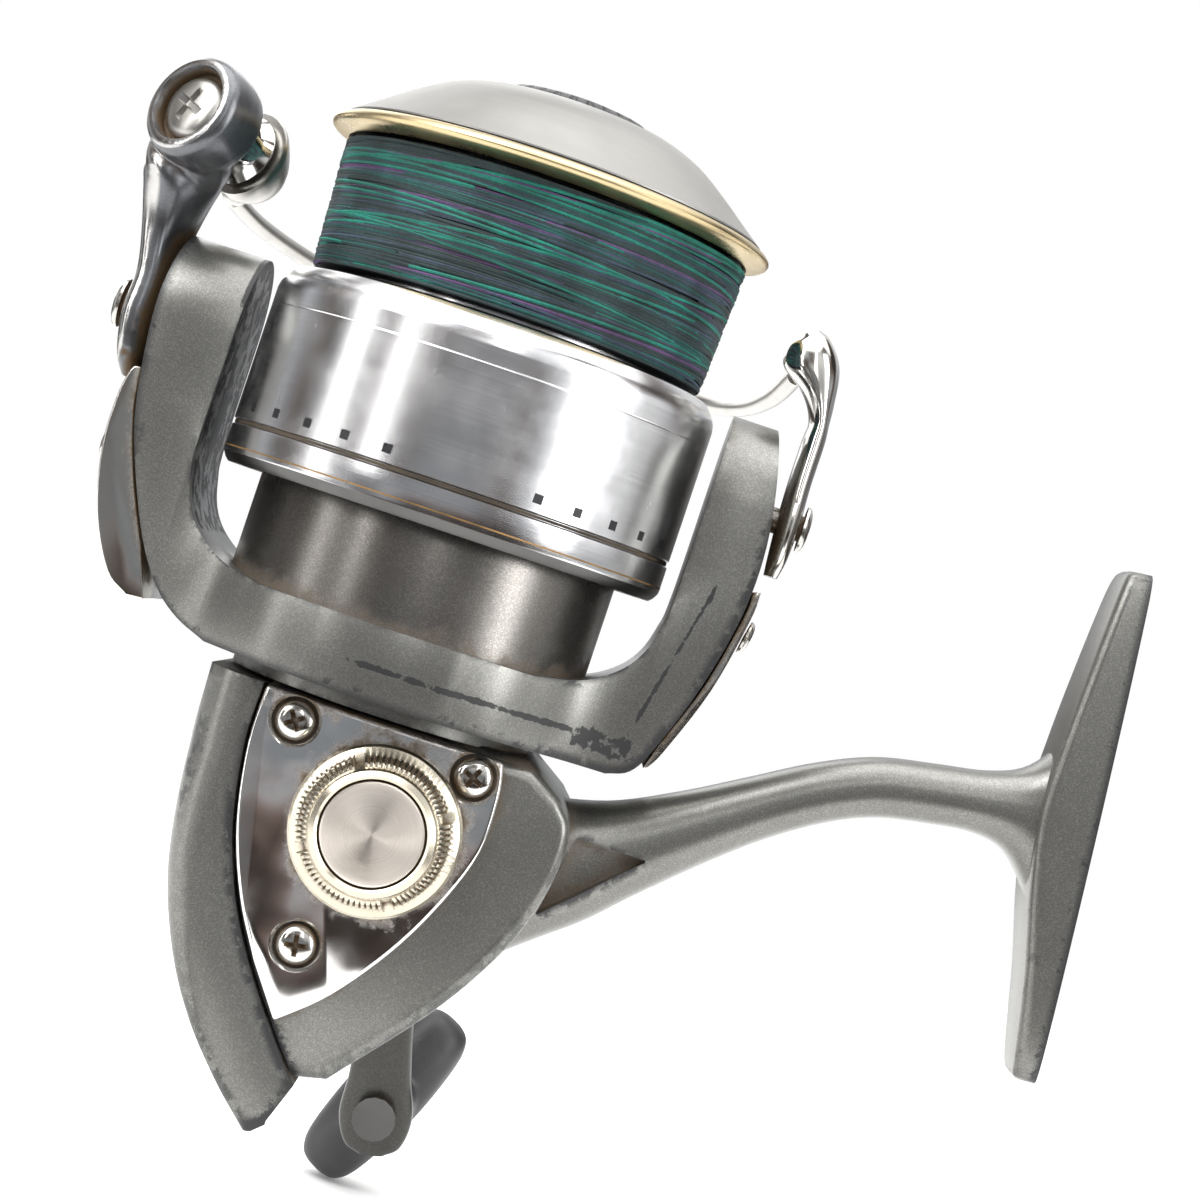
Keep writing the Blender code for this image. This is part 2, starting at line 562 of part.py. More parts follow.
def make_rotor():
    band = BAND_OUTER_RIGHT + BAND_OUTER_LEFT + [(-x, z) for x, z in BAND_INNER] + BAND_INNER[::-1]
    rotor = prism("rotor", band, -26, 26, "rotor", "paint")
    plan_half = BAND_PLAN + [(x, -y) for x, y in BAND_PLAN[::-1]]
    plan = plan_half + [(0, -RIM_R)] + [(-x, y) for x, y in plan_half[::-1]] + [(0, RIM_R)]
    keep(rotor, prism("band_plan_form", plan, 10, 60, along="Z"))
    top = [(ARM_HALF * math.cos(math.pi * k / 10), BAIL_PIVOT_Z + ARM_HALF * math.sin(math.pi * k / 10))
           for k in range(1, 10)]
    side = BAND_SIDE + top + [(-y, z) for y, z in BAND_SIDE[::-1]]
    keep(rotor, prism("band_side_form", side, -45, 45, along="X"))
    soften(rotor, 0.9, 2, 42)
    drum = [(DRUM_R - 1.6, 42.6), (DRUM_R - 0.2, 42.6), (DRUM_R, 42.2), (DRUM_R, 20.0), (DRUM_R, 15.0),
            (18.9, 15.0), (18.9, WEB_Z[0]), (PINION_R + GAP, WEB_Z[0]), (PINION_R + GAP, WEB_Z[1]),
            (DRUM_R - 1.8, WEB_Z[1])]
    join(rotor, turned("drum_form", drum, steps=48))
    cut(rotor, rod("rotor_rear_well", 18.9, 10.0, WEB_Z[0], steps=48))
    cut(rotor, rod("rotor_front_well", DRUM_R - 1.8, WEB_Z[1], 50.0, steps=48))
    cut(rotor, box("spring_pocket", (-40.0, -2.9, 29.6), (-29.6, 2.9, 40.6)))
    cut(rotor, rod("bail_screw_hole", 1.8, -45.0, -31.0, at=(0, 0, BAIL_PIVOT_Z), axis=(1, 0, 0), steps=12))
    cut(rotor, rod("lever_screw_hole", 1.8, 31.0, 45.0, at=(0, 0, BAIL_PIVOT_Z), axis=(1, 0, 0), steps=12))

    nut = prism("rotor_nut", [(7.0 * math.cos(math.radians(60 * k)), 7.0 * math.sin(math.radians(60 * k)))
                              for k in range(6)], WEB_Z[1] + GAP, 33.0, "rotor", "brass", "Z")
    soften(nut, 0.3, 1, 40)
    cut(nut, rod("nut_bore", PINION_R + GAP, 25.0, 40.0, steps=20))


def make_arm_covers():
    left = [(-37.5, 40.4), (-38.5, 39.9), (-39.1, 36.5), (-38.9, 30.4), (-37.0, 23.0), (-33.9, 17.2),
            (-31.0, 15.2), (-28.9, 15.4), (-31.1, 21.2), (-34.2, 28.0), (-36.6, 35.0)]
    cover = prism("arm_cover_left", left, -7.6, 7.6, "rotor", "chrome")
    soften(cover, 0.8, 2, 30)
    cut(cover, rod("left_cover_hole", 1.4, -45.0, -30.0, at=(0, 0, 31.0), axis=(1, 0, 0), steps=12))
    pan_screw("arm_cover_screw_left", (-39.4, 0, 31.0), (-1, 0, 0), 2.2, 1.0, 1.0, 3.0, "rotor")

    right = [(36.65, 38.2), (37.45, 38.4), (37.3, 35.0), (35.6, 26.0), (32.8, 18.0), (31.6, 15.6), (31.0, 15.2),
             (31.9, 18.2), (34.7, 26.2), (36.5, 35.0)]
    cover = prism("arm_cover_right", right, -6.4, 6.4, "rotor", "chrome")
    soften(cover, 0.2, 1, 40)
    lean = Vector((1.0, 0.0, -0.18)).normalized()
    pan_screw("arm_cover_screw_right", (37.55, 0, 33.0), lean, 2.0, 0.8, 0.5, 0.1, "rotor")

    wire("bail_spring", coil(-32.3, 2.0, 30.3, 39.8, 5, 6), 0.35, "rotor", "steel", sides=1)
    rod("spring_rod", 1.2, 30.0, 40.2, "rotor", "brass", (-32.3, 0, 0), steps=10)


def make_bail():
    out = Vector((1, 0, 0))
    side = Vector((0, 1, 0))
    head = ROLLER_CENTRE + ROLLER_AXIS * 6.9
    head_across = ROLLER_AXIS.cross(Vector((0, 0, 1))).normalized()
    stations = [((-39.6, 0.0, 38.9), side, 3.2, out, 0.8), ((-40.0, 0.0, 41.4), side, 6.2, out, 1.5),
                ((-40.5, 0.0, 46.0), side, 7.2, out, 2.0), ((-41.0, -0.3, 51.5), side, 6.2, out, 2.2),
                ((-41.6, -1.2, 57.0), Vector((0.25, 1, 0)), 4.9, Vector((1, -0.25, 0)), 2.4),
                ((-41.9, -2.9, 62.0), Vector((0.6, 0.8, 0)), 4.4, Vector((0.8, -0.6, 0)), 3.0),
                ((-41.2, -4.8, 66.0), -head_across, 5.0, Vector(ROLLER_AXIS), 3.3),
                ((-40.4, -6.2, 69.0), -head_across, 5.4, Vector(ROLLER_AXIS), 3.3)]
    arm = loft("bail_arm", stations, "bail", "paint", sides=14, power=2.3)
    disc = turned("bail_head_form", [(0, 3.6), (3.3, 3.6), (3.3, 3.2), (5.4, 3.4), (6.1, 2.8), (6.4, 0.0),
                                     (6.0, -2.9), (5.0, -3.5), (0, -3.5)], at=head, axis=ROLLER_AXIS, steps=28)
    join(arm, disc)
    cut(arm, rod("roller_clearance", 5.0, -7.0, 3.2, at=ROLLER_CENTRE, axis=ROLLER_AXIS, steps=24))
    cut(arm, rod("roller_screw_seat", 3.4, 2.2, 6.0, at=head, axis=ROLLER_AXIS, steps=24))
    cut(arm, rod("roller_screw_hole", 1.9, -8.0, 5.0, at=head, axis=ROLLER_AXIS, steps=16))
    cut(arm, rod("arm_screw_hole", 1.9, -50.0, -30.0, at=(0, 0, BAIL_PIVOT_Z), axis=(1, 0, 0), steps=14))
    pan_screw("roller_screw", head + ROLLER_AXIS * 2.5, ROLLER_AXIS, 3.0, 1.3, 1.5, 12.0, "bail")
    pan_screw("bail_screw_left", (-43.1, 0, BAIL_PIVOT_Z), (-1, 0, 0), 2.9, 1.0, 1.5, 7.5, "rotor")

    lever = loft("bail_lever", [((38.2, 0, 40.6), side, 2.6, out, 0.8), ((38.3, 0, 43.0), side, 5.2, out, 1.1),
                                ((38.2, 0, 47.0), side, 6.2, out, 1.3), ((38.0, 0, 52.0), side, 5.6, out, 1.3),
                                ((38.0, 0, 57.0), side, 4.6, out, 1.3), ((37.9, 0, 59.4), side, 4.2, out, 1.2),
                                ((37.0, 0, 62.0), side, 3.9, out, 1.9),
                                ((35.1, 0, 65.2), side, 3.8, Vector((1, 0, 0.3)), 3.2),
                                ((33.9, 0, 67.6), side, 3.0, Vector((1, 0, 0.5)), 2.6),
                                ((33.6, 0, 68.9), side, 1.6, Vector((1, 0, 0.6)), 1.3)],
                 "bail", "chrome", sides=14, power=2.3)
    cut(lever, rod("lever_hole", 1.9, 30.0, 50.0, at=(0, 0, BAIL_PIVOT_Z), axis=(1, 0, 0), steps=14))
    pan_screw("bail_screw_right", (39.9, 0, BAIL_PIVOT_Z), (1, 0, 0), 2.7, 0.9, 1.5, 6.5, "rotor")

    route = [(-36.3, 8.2, 63.3), (-33.7, 18.0, 62.1), (-28.9, 30.5, 61.2), (-23.6, 39.4, 60.8),
             (-13.0, 45.9, 60.8), (0.0, 48.0, 61.0), (13.0, 45.9, 60.8), (24.0, 39.6, 60.4),
             (29.4, 30.5, 60.6), (32.4, 17.0, 61.9), (33.9, 4.6, 64.2)]
    wire("bail_wire", smooth_path(route, 36), WIRE_R, "bail", "steel", sides=2)
    base = ROLLER_CENTRE - ROLLER_AXIS * 3.3
    bend = [(base, 3.9), (base - ROLLER_AXIS * 1.3 + Vector((-0.1, 0.2, -0.1)), 3.9),
            (Vector((-35.3, 5.2, 65.6)), 3.2), (Vector((-36.0, 6.9, 64.3)), 2.0), (Vector((-36.2, 7.6, 63.7)), 1.6)]
    flare("wire_collar", bend, -ROLLER_AXIS, "bail", "paint")
    roller = [(3.1, 2.9), (4.2, 2.9), (4.5, 2.4), (3.7, 0.9), (3.6, -0.6), (4.4, -2.4), (4.1, -2.8), (3.1, -2.8)]
    turned("line_roller", roller, "line_roller", "chrome", ROLLER_CENTRE, ROLLER_AXIS, 24)
    ring("roller_bush", 1.9, 2.8, -2.7, 2.8, "bail", "plastic", ROLLER_CENTRE, ROLLER_AXIS, 16)


# --- spool and drag -------------------------------------------------------------------------------------

def make_spool():
    casting = [(23.6, 75.0), (23.6, 73.6), (19.0, 73.2), (18.6, 57.6), (23.8, 57.3), (25.4, 56.5), (26.3, 55.2),
               (SKIRT_R, 53.8), (SKIRT_R, 38.6), (26.2, 38.3), (26.2, 37.7), (SKIRT_R, 37.4), (26.3, 35.6),
               (25.5, 33.5), (24.9, 33.5), (24.7, 35.0), (24.7, 54.4), (17.2, 54.8), (16.8, 66.2), (5.0, 66.2),
               (5.0, 48.2), (SHAFT_R + GAP, 48.2), (SHAFT_R + GAP, 68.0), (11.6, 68.0), (11.6, 75.0)]
    turned("spool", casting, "spool", "aluminium", steps=36)
    lip = [(24.6, 75.6), (26.2, 75.2), (26.6, 74.7), (26.3, 74.2), (24.3, 73.3), (23.9, 73.4), (23.9, 75.4)]
    turned("spool_lip_ring", lip, "spool", "gold", steps=40)
    cap = [(10.4, 84.0), (12.5, 83.8), (16.0, 82.4), (19.5, 80.1), (22.7, 77.7), (24.9, 76.2), (24.3, 75.9),
           (21.8, 76.7), (18.8, 78.9), (15.5, 81.1), (12.8, 82.2), (12.8, 75.4), (11.9, 75.4), (11.9, 82.6),
           (10.4, 83.0)]
    turned("spool_front_cap", cap, "spool", "satin", steps=32)
    winding = [(19.3, 72.9), (24.4, 72.9), (24.3, 70.0), (LINE_R, 65.0), (23.8, 60.0), (23.6, 58.0),
               (19.0, 58.0)]
    turned("line_winding", winding, "spool", "braid", steps=40)
    for name, low, high, finish in (("drag_washer_inner", 68.3, 69.1, "felt"),
                                    ("drag_washer_metal", 69.4, 70.2, "steel"),
                                    ("drag_washer_outer", 70.5, 71.3, "felt")):
        ring(name, 2.6, 11.0, low, high, "spool", finish, steps=20)
    ring("drag_retaining_ring", 9.4, 11.3, 71.6, 72.4, "spool", "steel", steps=20)
    click = prism("click_ring", toothed(18, 6.6, 7.4, 0, tooth=0.6), 62.6, 64.6, "spool", "plastic", "Z")
    cut(click, rod("click_bore", 5.3, 60.0, 68.0, steps=24))


def make_drag_knob():
    ribs = []
    for k in range(56):
        radius = 9.8 if k % 4 in (0, 1) else 9.2
        ribs.append((radius * math.cos(2 * math.pi * k / 56), radius * math.sin(2 * math.pi * k / 56)))
    knob = prism("drag_knob", ribs, 78.4, 84.4, "drag_knob", "rubber", "Z")
    join(knob, turned("knob_crown_form", [(0, 85.5), (6.2, 85.5), (8.4, 85.0), (9.1, 84.3), (9.1, 83.0), (0, 83.0)],
                      steps=32))
    cut(knob, rod("knob_well", 6.6, 76.0, 84.2, steps=24))
    nut = prism("drag_nut", [(4.6 * math.cos(math.radians(60 * k)), 4.6 * math.sin(math.radians(60 * k)))
                             for k in range(6)], 80.4, 83.6, "drag_knob", "brass", "Z")
    cut(nut, rod("drag_nut_bore", SHAFT_R + GAP, 75.0, 85.0, steps=18))
    wire("drag_spring", coil(0, 4.0, 72.3, 79.5, 4, 8), 0.5, "drag_knob", "steel", sides=1)


# --- crank ----------------------------------------------------------------------------------------------

def make_crank():
    far = (0, 1, 0)
    collar = [(4.2, 29.0), (5.2, 28.4), (5.6, 26.0), (6.2, 20.5), (6.2, 19.4), (3.7, 19.4), (3.7, 22.8),
              (2.2, 22.8), (2.2, 29.0)]
    turned("handle_collar", collar, "handle", "steel", (CRANK_X, 0, 0), far, 24)
    down = Vector((math.sin(CRANK_ANGLE), 0, -math.cos(CRANK_ANGLE)))
    across = Vector((math.cos(CRANK_ANGLE), 0, math.sin(CRANK_ANGLE)))
    hub = Vector((CRANK_X, 0, 0))
    shape = [(-6.6, 31.6, 2.2, 1.8), (-5.0, 31.7, 4.8, 2.3), (0.0, 31.8, 6.0, 2.4), (7.0, 33.4, 5.2, 2.3),
             (18.0, 40.0, 4.2, 2.1), (30.0, 47.4, 3.8, 2.0), (39.0, 52.4, 4.2, 2.0), (45.0, 54.0, 5.0, 2.0),
             (49.0, 54.2, 3.9, 1.9), (50.4, 54.2, 1.8, 1.4)]
    stations = []
    for reach, y, half_width, half_thick in shape:
        stations.append((hub + down * reach + Vector((0, y, 0)), across, half_width, (0, 1, 0), half_thick))
    arm = loft("handle_arm", stations, "handle", "paint", sides=12, power=3.0)
    cut(arm, rod("spindle_hole", 2.0, 45.0, 60.0, at=KNOB_AXIS, axis=far, steps=14))
    spindle = [(0, 72.0), (1.5, 72.0), (1.6, 71.8), (1.6, 51.0), (3.0, 51.0), (3.0, 50.2), (0, 50.2)]
    turned("knob_spindle", spindle, "handle", "steel", KNOB_AXIS, far, 14)

    lean = math.radians(25.0)
    bar = Vector((math.sin(lean), 0, math.cos(lean)))
    thick = Vector((math.cos(lean), 0, -math.sin(lean)))
    depth = Vector((0, 1, 0))
    centre = KNOB_AXIS + Vector((0, 70.0, 0))
    shape = [(-14.2, 1.6, 1.4), (-13.4, 3.2, 3.0), (-11.0, 4.4, 4.2), (-6.0, 5.1, 5.2), (0.0, 5.4, 5.6),
             (6.0, 5.1, 5.2), (11.0, 4.4, 4.2), (13.4, 3.2, 3.0), (14.2, 1.6, 1.4)]
    knob = loft("handle_knob", [(centre + bar * s, thick, w, depth, d) for s, w, d in shape], "handle_knob",
                "rubber", sides=12, power=2.4)
    neck = turned("knob_neck_form", [(0, 68.0), (5.0, 68.0), (4.6, 64.0), (4.0, 60.0), (3.9, 57.2), (4.4, 56.6),
                                     (0, 56.6)], at=KNOB_AXIS, axis=far, steps=20)
    join(knob, neck)
    cut(knob, rod("knob_bore", 1.9, 50.0, 90.0, at=KNOB_AXIS, axis=far, steps=14))
    cut(knob, rod("knob_cap_seat", 3.3, 72.6, 90.0, at=KNOB_AXIS, axis=far, steps=20))
    rod("knob_end_cap", 3.0, 72.9, 75.2, "handle_knob", "chrome", KNOB_AXIS, far, 20)


make_housing()
make_side_cap()
make_drive()
make_slider()
make_spindle()
make_rotor()
make_arm_covers()
make_bail()
make_spool()
make_drag_knob()
make_crank()
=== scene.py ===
"""The spinning reel's looks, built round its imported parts.

Shapes are written in millimetres in the reel's own frame: Z up the spool's axis, X to the rod, Y to the
crank. ORIGIN carries them into the row frame. Finishes read object coordinates, in metres of the row frame.
"""

import random
from math import copysign, cos, pi, radians, sin

import bmesh
import bpy
from mathutils import Matrix, Vector


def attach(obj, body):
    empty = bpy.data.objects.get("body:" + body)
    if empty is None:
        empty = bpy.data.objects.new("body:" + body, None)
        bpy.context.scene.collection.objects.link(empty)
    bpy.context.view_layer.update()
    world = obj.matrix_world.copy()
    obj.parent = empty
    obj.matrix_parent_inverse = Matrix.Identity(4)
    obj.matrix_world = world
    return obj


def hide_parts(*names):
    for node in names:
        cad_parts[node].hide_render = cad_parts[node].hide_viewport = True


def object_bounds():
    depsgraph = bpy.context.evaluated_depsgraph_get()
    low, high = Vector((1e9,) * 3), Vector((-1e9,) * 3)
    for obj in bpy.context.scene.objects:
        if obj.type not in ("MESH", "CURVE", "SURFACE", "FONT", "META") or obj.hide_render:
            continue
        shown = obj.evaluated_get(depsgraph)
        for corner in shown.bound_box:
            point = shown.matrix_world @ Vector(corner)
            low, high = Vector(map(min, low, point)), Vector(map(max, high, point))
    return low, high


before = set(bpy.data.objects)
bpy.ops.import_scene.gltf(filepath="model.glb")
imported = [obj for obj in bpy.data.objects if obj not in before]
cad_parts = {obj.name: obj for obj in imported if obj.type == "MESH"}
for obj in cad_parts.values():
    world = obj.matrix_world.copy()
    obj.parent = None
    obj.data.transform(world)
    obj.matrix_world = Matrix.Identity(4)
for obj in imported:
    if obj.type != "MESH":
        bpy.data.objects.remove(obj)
CAD_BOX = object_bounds()

MM = 0.001
ORIGIN = Vector((-82.45, 0, -25))
GAP = 0.3

# Axes and radii of the reel
CRANK_X = 5
BAIL_PIVOT_Z = 47
CRANK_ANGLE = radians(11)
CRANK_RADIUS = 45
FOOT_FACE = Vector((82.45, 0, 25))
FOOT_TILT = radians(5.4)
FOOT_ROUND = 1.3
ROLLER_CENTRE = Vector((-36, -1, 68.3))
ROLLER_AXIS = Vector((-0.55, -0.81, 0.2)).normalized()
ROLLER_HEAD = ROLLER_CENTRE + ROLLER_AXIS * 6.9
KNOB_AXIS = Vector((CRANK_X + CRANK_RADIUS * sin(CRANK_ANGLE), 0,
                    -CRANK_RADIUS * cos(CRANK_ANGLE)))
PLATE_FRONT = -17.6
SKIRT_R = 26.5
DRUM_R = 21.5
NEAR, FAR, LEFT, RIGHT = (0, -1, 0), (0, 1, 0), (-1, 0, 0), (1, 0, 0)
HUB = Vector((CRANK_X, 0, 0))
PIVOT = Vector((0, 0, BAIL_PIVOT_Z))
# Small square marks round the skirt, in degrees from -Y, and again half a turn on
MARK_ANGLES = (-72, -61, -49, -37, -25.5, -14, 23.5, 34.5, 46, 57.5, 69)

# Outlines seen along Y, as (x, z)
COVER_TOP = 11.5
REAR_EDGE = [(-18.7, COVER_TOP), (-18.3, 3.4), (-17.4, -4.6), (-15.6, -12.6), (-12.3, -20.2), (-8.3, -26.3),
             (-3.2, -32), (1.4, -36.2)]
PARTING = [(-11.9, COVER_TOP), (-11.9, 4.8), (-10.3, -4.2), (-7.4, -12), (-3.7, -18.4), (0.9, -24.6),
           (5.2, -29.8)]
RIGHT_EDGE = [(8.4, -28.2), (16.8, -17.9), (21.6, -10.3), (24.2, -4.1), (25.4, 1.7), (25.2, 6.6), (23.2, 9.2),
              (18.5, 12.2)]
PLATE_RIGHT = [(0.9, -23.6), (6, -18.9), (10.9, -12.2), (14.4, -5.4), (16.6, 1.2), (16.7, 7.4), (16, 11.4)]
PLATE_LEFT = [(-11.5, 11.4), (-11.5, 4.8), (-9.95, -4), (-7.05, -11.6), (-3.35, -17.9)]
SIDE_SCREWS = [(-7.3, 8.6), (13.3, 8.8), (0.6, -14.8)]
BAND_OUTER_RIGHT = [(33.4, 58), (35.4, 49), (36.3, 42), (36, 34.7), (34.2, 26), (31.4, 17.8), (29.6, 14.6),
                    (27, 13.5)]
BAND_OUTER_LEFT = [(-20, 13.5), (-24, 14.9), (-27.4, 17.4), (-30.6, 21.9), (-33.6, 28.3), (-36, 35),
                   (-37.4, 43.4), (-37.8, 50), (-37.4, 58)]
BAND_INNER = [(28.3, 58), (28.3, 36), (27.8, 30.8), (26.6, 27.2), (24.4, 24.6), (21, 22.6), (16, 21.6)]
BAND_PLAN = [(7, 23.2), (13, 20.4), (17.6, 16.8), (21.6, 13.4), (26, 11.4), (31, 10.5), (41, 10)]
ARM_TOP_R = 10
BAND_SIDE = [(25, 23), (17.5, 26), (12.8, 30), (10.6, 35), (ARM_TOP_R, BAIL_PIVOT_Z)]


# --- modelling ------------------------------------------------------------------------------------------

def spline(points, count):
    """Points along a Catmull-Rom curve through the given ones, whatever their number of values."""
    knots = [Vector(p) for p in points]
    knots = [2 * knots[0] - knots[1], *knots, 2 * knots[-1] - knots[-2]]
    spans = len(knots) - 3
    path = []
    for step in range(count):
        t = step * spans / (count - 1)
        i = min(int(t), spans - 1)
        t -= i
        a, b, c, d = knots[i:i + 4]
        path.append(0.5 * (2 * b + (c - a) * t + (2 * a - 5 * b + 4 * c - d) * t ** 2
                           + (3 * b - a - 3 * c + d) * t ** 3))
    return path


def run(points, per=5):
    """A smooth run through an outline's points, as plain pairs."""
    return [tuple(p) for p in spline(points, per * (len(points) - 1) + 1)]


def placed(point):
    return (Vector(point) + ORIGIN) * MM


def linked(name, data):
    thing = bpy.data.objects.new(name, data)
    bpy.context.scene.collection.objects.link(thing)
    return thing


def from_bmesh(name, bm):
    """The mesh, written in the reel's millimetres, as an object in the row frame."""
    for vert in bm.verts:
        vert.co = placed(vert.co)
    bmesh.ops.recalc_face_normals(bm, faces=bm.faces)
    mesh = bpy.data.meshes.new(name)
    bm.to_mesh(mesh)
    bm.free()
    return linked(name, mesh)


def skin(bm, rings):
    """Faces between neighbouring rings of corners, and over the two ends."""
    rings = [[bm.verts.new(corner) for corner in ring] for ring in rings]
    for here, after in zip(rings, rings[1:]):
        for k in range(len(here)):
            n = (k + 1) % len(here)
            bm.faces.new((here[k], here[n], after[n], after[k]))
    bm.faces.new(rings[0])
    bm.faces.new(rings[-1])


def skinned(name, rings):
    bm = bmesh.new()
    skin(bm, rings)
    return from_bmesh(name, bm)


def prism(name, outline, low, high, along="Y"):
    corner = {"X": lambda a, b, t: (t, a, b), "Y": lambda a, b, t: (a, t, b),
              "Z": lambda a, b, t: (a, b, t)}[along]
    return skinned(name, [[corner(a, b, t) for a, b in outline] for t in (low, high)])


def box(name, low, high):
    outline = [(low[0], low[2]), (high[0], low[2]), (high[0], high[2]), (low[0], high[2])]
    return prism(name, outline, low[1], high[1])


def lathe(name, profile, at=(0, 0, 0), axis=(0, 0, 1), steps=96, shape=None):
    """A profile of (radius, height) turned about an axis. shape(row, turn, radius) may change a radius."""
    turn = Vector((0, 0, 1)).rotation_difference(Vector(axis)).to_matrix()
    bm = bmesh.new()
    rows = []
    for number, (radius, height) in enumerate(profile):
        row = []
        for k in range(steps if radius > 0 else 1):
            angle = 2 * pi * k / steps
            reach = shape(number, k / steps, radius) if shape else radius
            place = turn @ Vector((reach * cos(angle), reach * sin(angle), height))
            row.append(bm.verts.new(Vector(at) + place))
        rows.append(row)
    pairs = list(zip(rows, rows[1:]))
    if profile[0][0] > 0 and profile[-1][0] > 0:
        pairs.append((rows[-1], rows[0]))
    for here, after in pairs:
        for k in range(steps):
            corners = [here[k % len(here)], here[(k + 1) % len(here)], after[(k + 1) % len(after)],
                       after[k % len(after)]]
            corners = list(dict.fromkeys(corners))
            if len(corners) > 2:
                bm.faces.new(corners)
    return from_bmesh(name, bm)


def rod(name, radius, low, high, at=(0, 0, 0), axis=(0, 0, 1), steps=64):
    return lathe(name, [(0, high), (radius, high), (radius, low), (0, low)], at, axis, steps)


def loft(name, stations, count, sides=32, power=2.6):
    """Rounded sections joined up along a smooth run. Each station is (centre, width direction, half width,
    thickness direction, half thickness)."""
    flat = [(*centre, *across, width, *through, thick)
            for centre, across, width, through, thick in stations]
    columns = [[p[0] for p in spline([(v, 0) for v in column], count)] for column in zip(*flat)]
    rings = []
    for row in zip(*columns):
        across, through = Vector(row[3:6]).normalized(), Vector(row[7:10]).normalized()
        loop = []
        for k in range(sides):
            angle = 2 * pi * (k + 0.5) / sides
            c, s = cos(angle), sin(angle)
            u = copysign(abs(c) ** (2 / power), c) * row[6]
            v = copysign(abs(s) ** (2 / power), s) * row[10]
            loop.append(Vector(row[:3]) + across * u + through * v)
        rings.append(loop)
    return skinned(name, rings)


def tube(name, paths, radius, roundness=2):
    """Bent rods along paths of points, as one mesh."""
    curve = bpy.data.curves.new(name, "CURVE")
    curve.dimensions = "3D"
    curve.bevel_depth = radius * MM
    curve.bevel_resolution = roundness
    curve.use_fill_caps = True
    for path in paths:
        strand = curve.splines.new("POLY")
        strand.points.add(len(path) - 1)
        strand.use_smooth = True
        for point, place in zip(strand.points, path):
            point.co = (*placed(place), 1)
    return linked(name, curve)


def combine(thing, others, how):
    for other in others:
        other.hide_render = True
        step = thing.modifiers.new(other.name, "BOOLEAN")
        step.operation = how
        step.solver = "EXACT"
        step.object = other
    return thing


def cut(thing, *others):
    return combine(thing, others, "DIFFERENCE")


def join(thing, *others):
    return combine(thing, others, "UNION")


def soften(thing, width, segments=3, angle=35):
    step = thing.modifiers.new("soften", "BEVEL")
    step.width = width * MM
    step.segments = segments
    step.limit_method = "ANGLE"
    step.angle_limit = radians(angle)
    return thing


def melt(thing, cell, rounds):
    """Flows the joined shapes into one skin with small fillets."""
    step = thing.modifiers.new("skin", "REMESH")
    step.mode = "VOXEL"
    step.voxel_size = cell * MM
    smooth = thing.modifiers.new("flow", "SMOOTH")
    smooth.factor = 0.5
    smooth.iterations = rounds
    return thing


def settle(thing, angle=32):
    """Makes the modifiers' result the piece's own mesh, removes its cutters and smooths its round faces."""
    used = [step.object for step in thing.modifiers if step.type == "BOOLEAN"]
    for other in used:
        if other.modifiers:
            settle(other)
    graph = bpy.context.evaluated_depsgraph_get()
    graph.update()
    mesh = bpy.data.meshes.new_from_object(thing.evaluated_get(graph), depsgraph=graph)
    name = thing.name
    if thing.type == "CURVE":
        bpy.data.objects.remove(thing)
        thing = linked(name, mesh)
    else:
        thing.modifiers.clear()
        thing.data = mesh
    for other in used:
        bpy.data.objects.remove(other)
    mesh.shade_smooth()
    mesh.set_sharp_from_angle(angle=radians(angle))
    return thing


def dress(thing, finish, body, *nodes, angle=32):
    """Finishes a piece: its material, the body it rides on and the CAD nodes it stands for."""
    thing = settle(thing, angle)
    thing.data.materials.clear()
    thing.data.materials.append(finish.made)
    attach(thing, body)
    if nodes:
        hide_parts(*nodes)
    return thing


# --- finishes -------------------------------------------------------------------------------------------

def shade(colour, by=1):
    """A colour made lighter or darker, with its alpha."""
    return (*(c * by for c in colour[:3]), 1)


def put(tree, socket, value):
    if isinstance(value, bpy.types.NodeSocket):
        tree.links.new(value, socket)
    else:
        socket.default_value = value


def wire(tree, kind, inputs=None, **settings):
    """Adds a node, with each input linked from a socket or set to a value, and gives its outputs."""
    made = tree.nodes.new("ShaderNode" + kind)
    for key, value in settings.items():
        setattr(made, key, value)
    for key, value in (inputs or {}).items():
        put(tree, made.inputs[key], value)
    return made.outputs


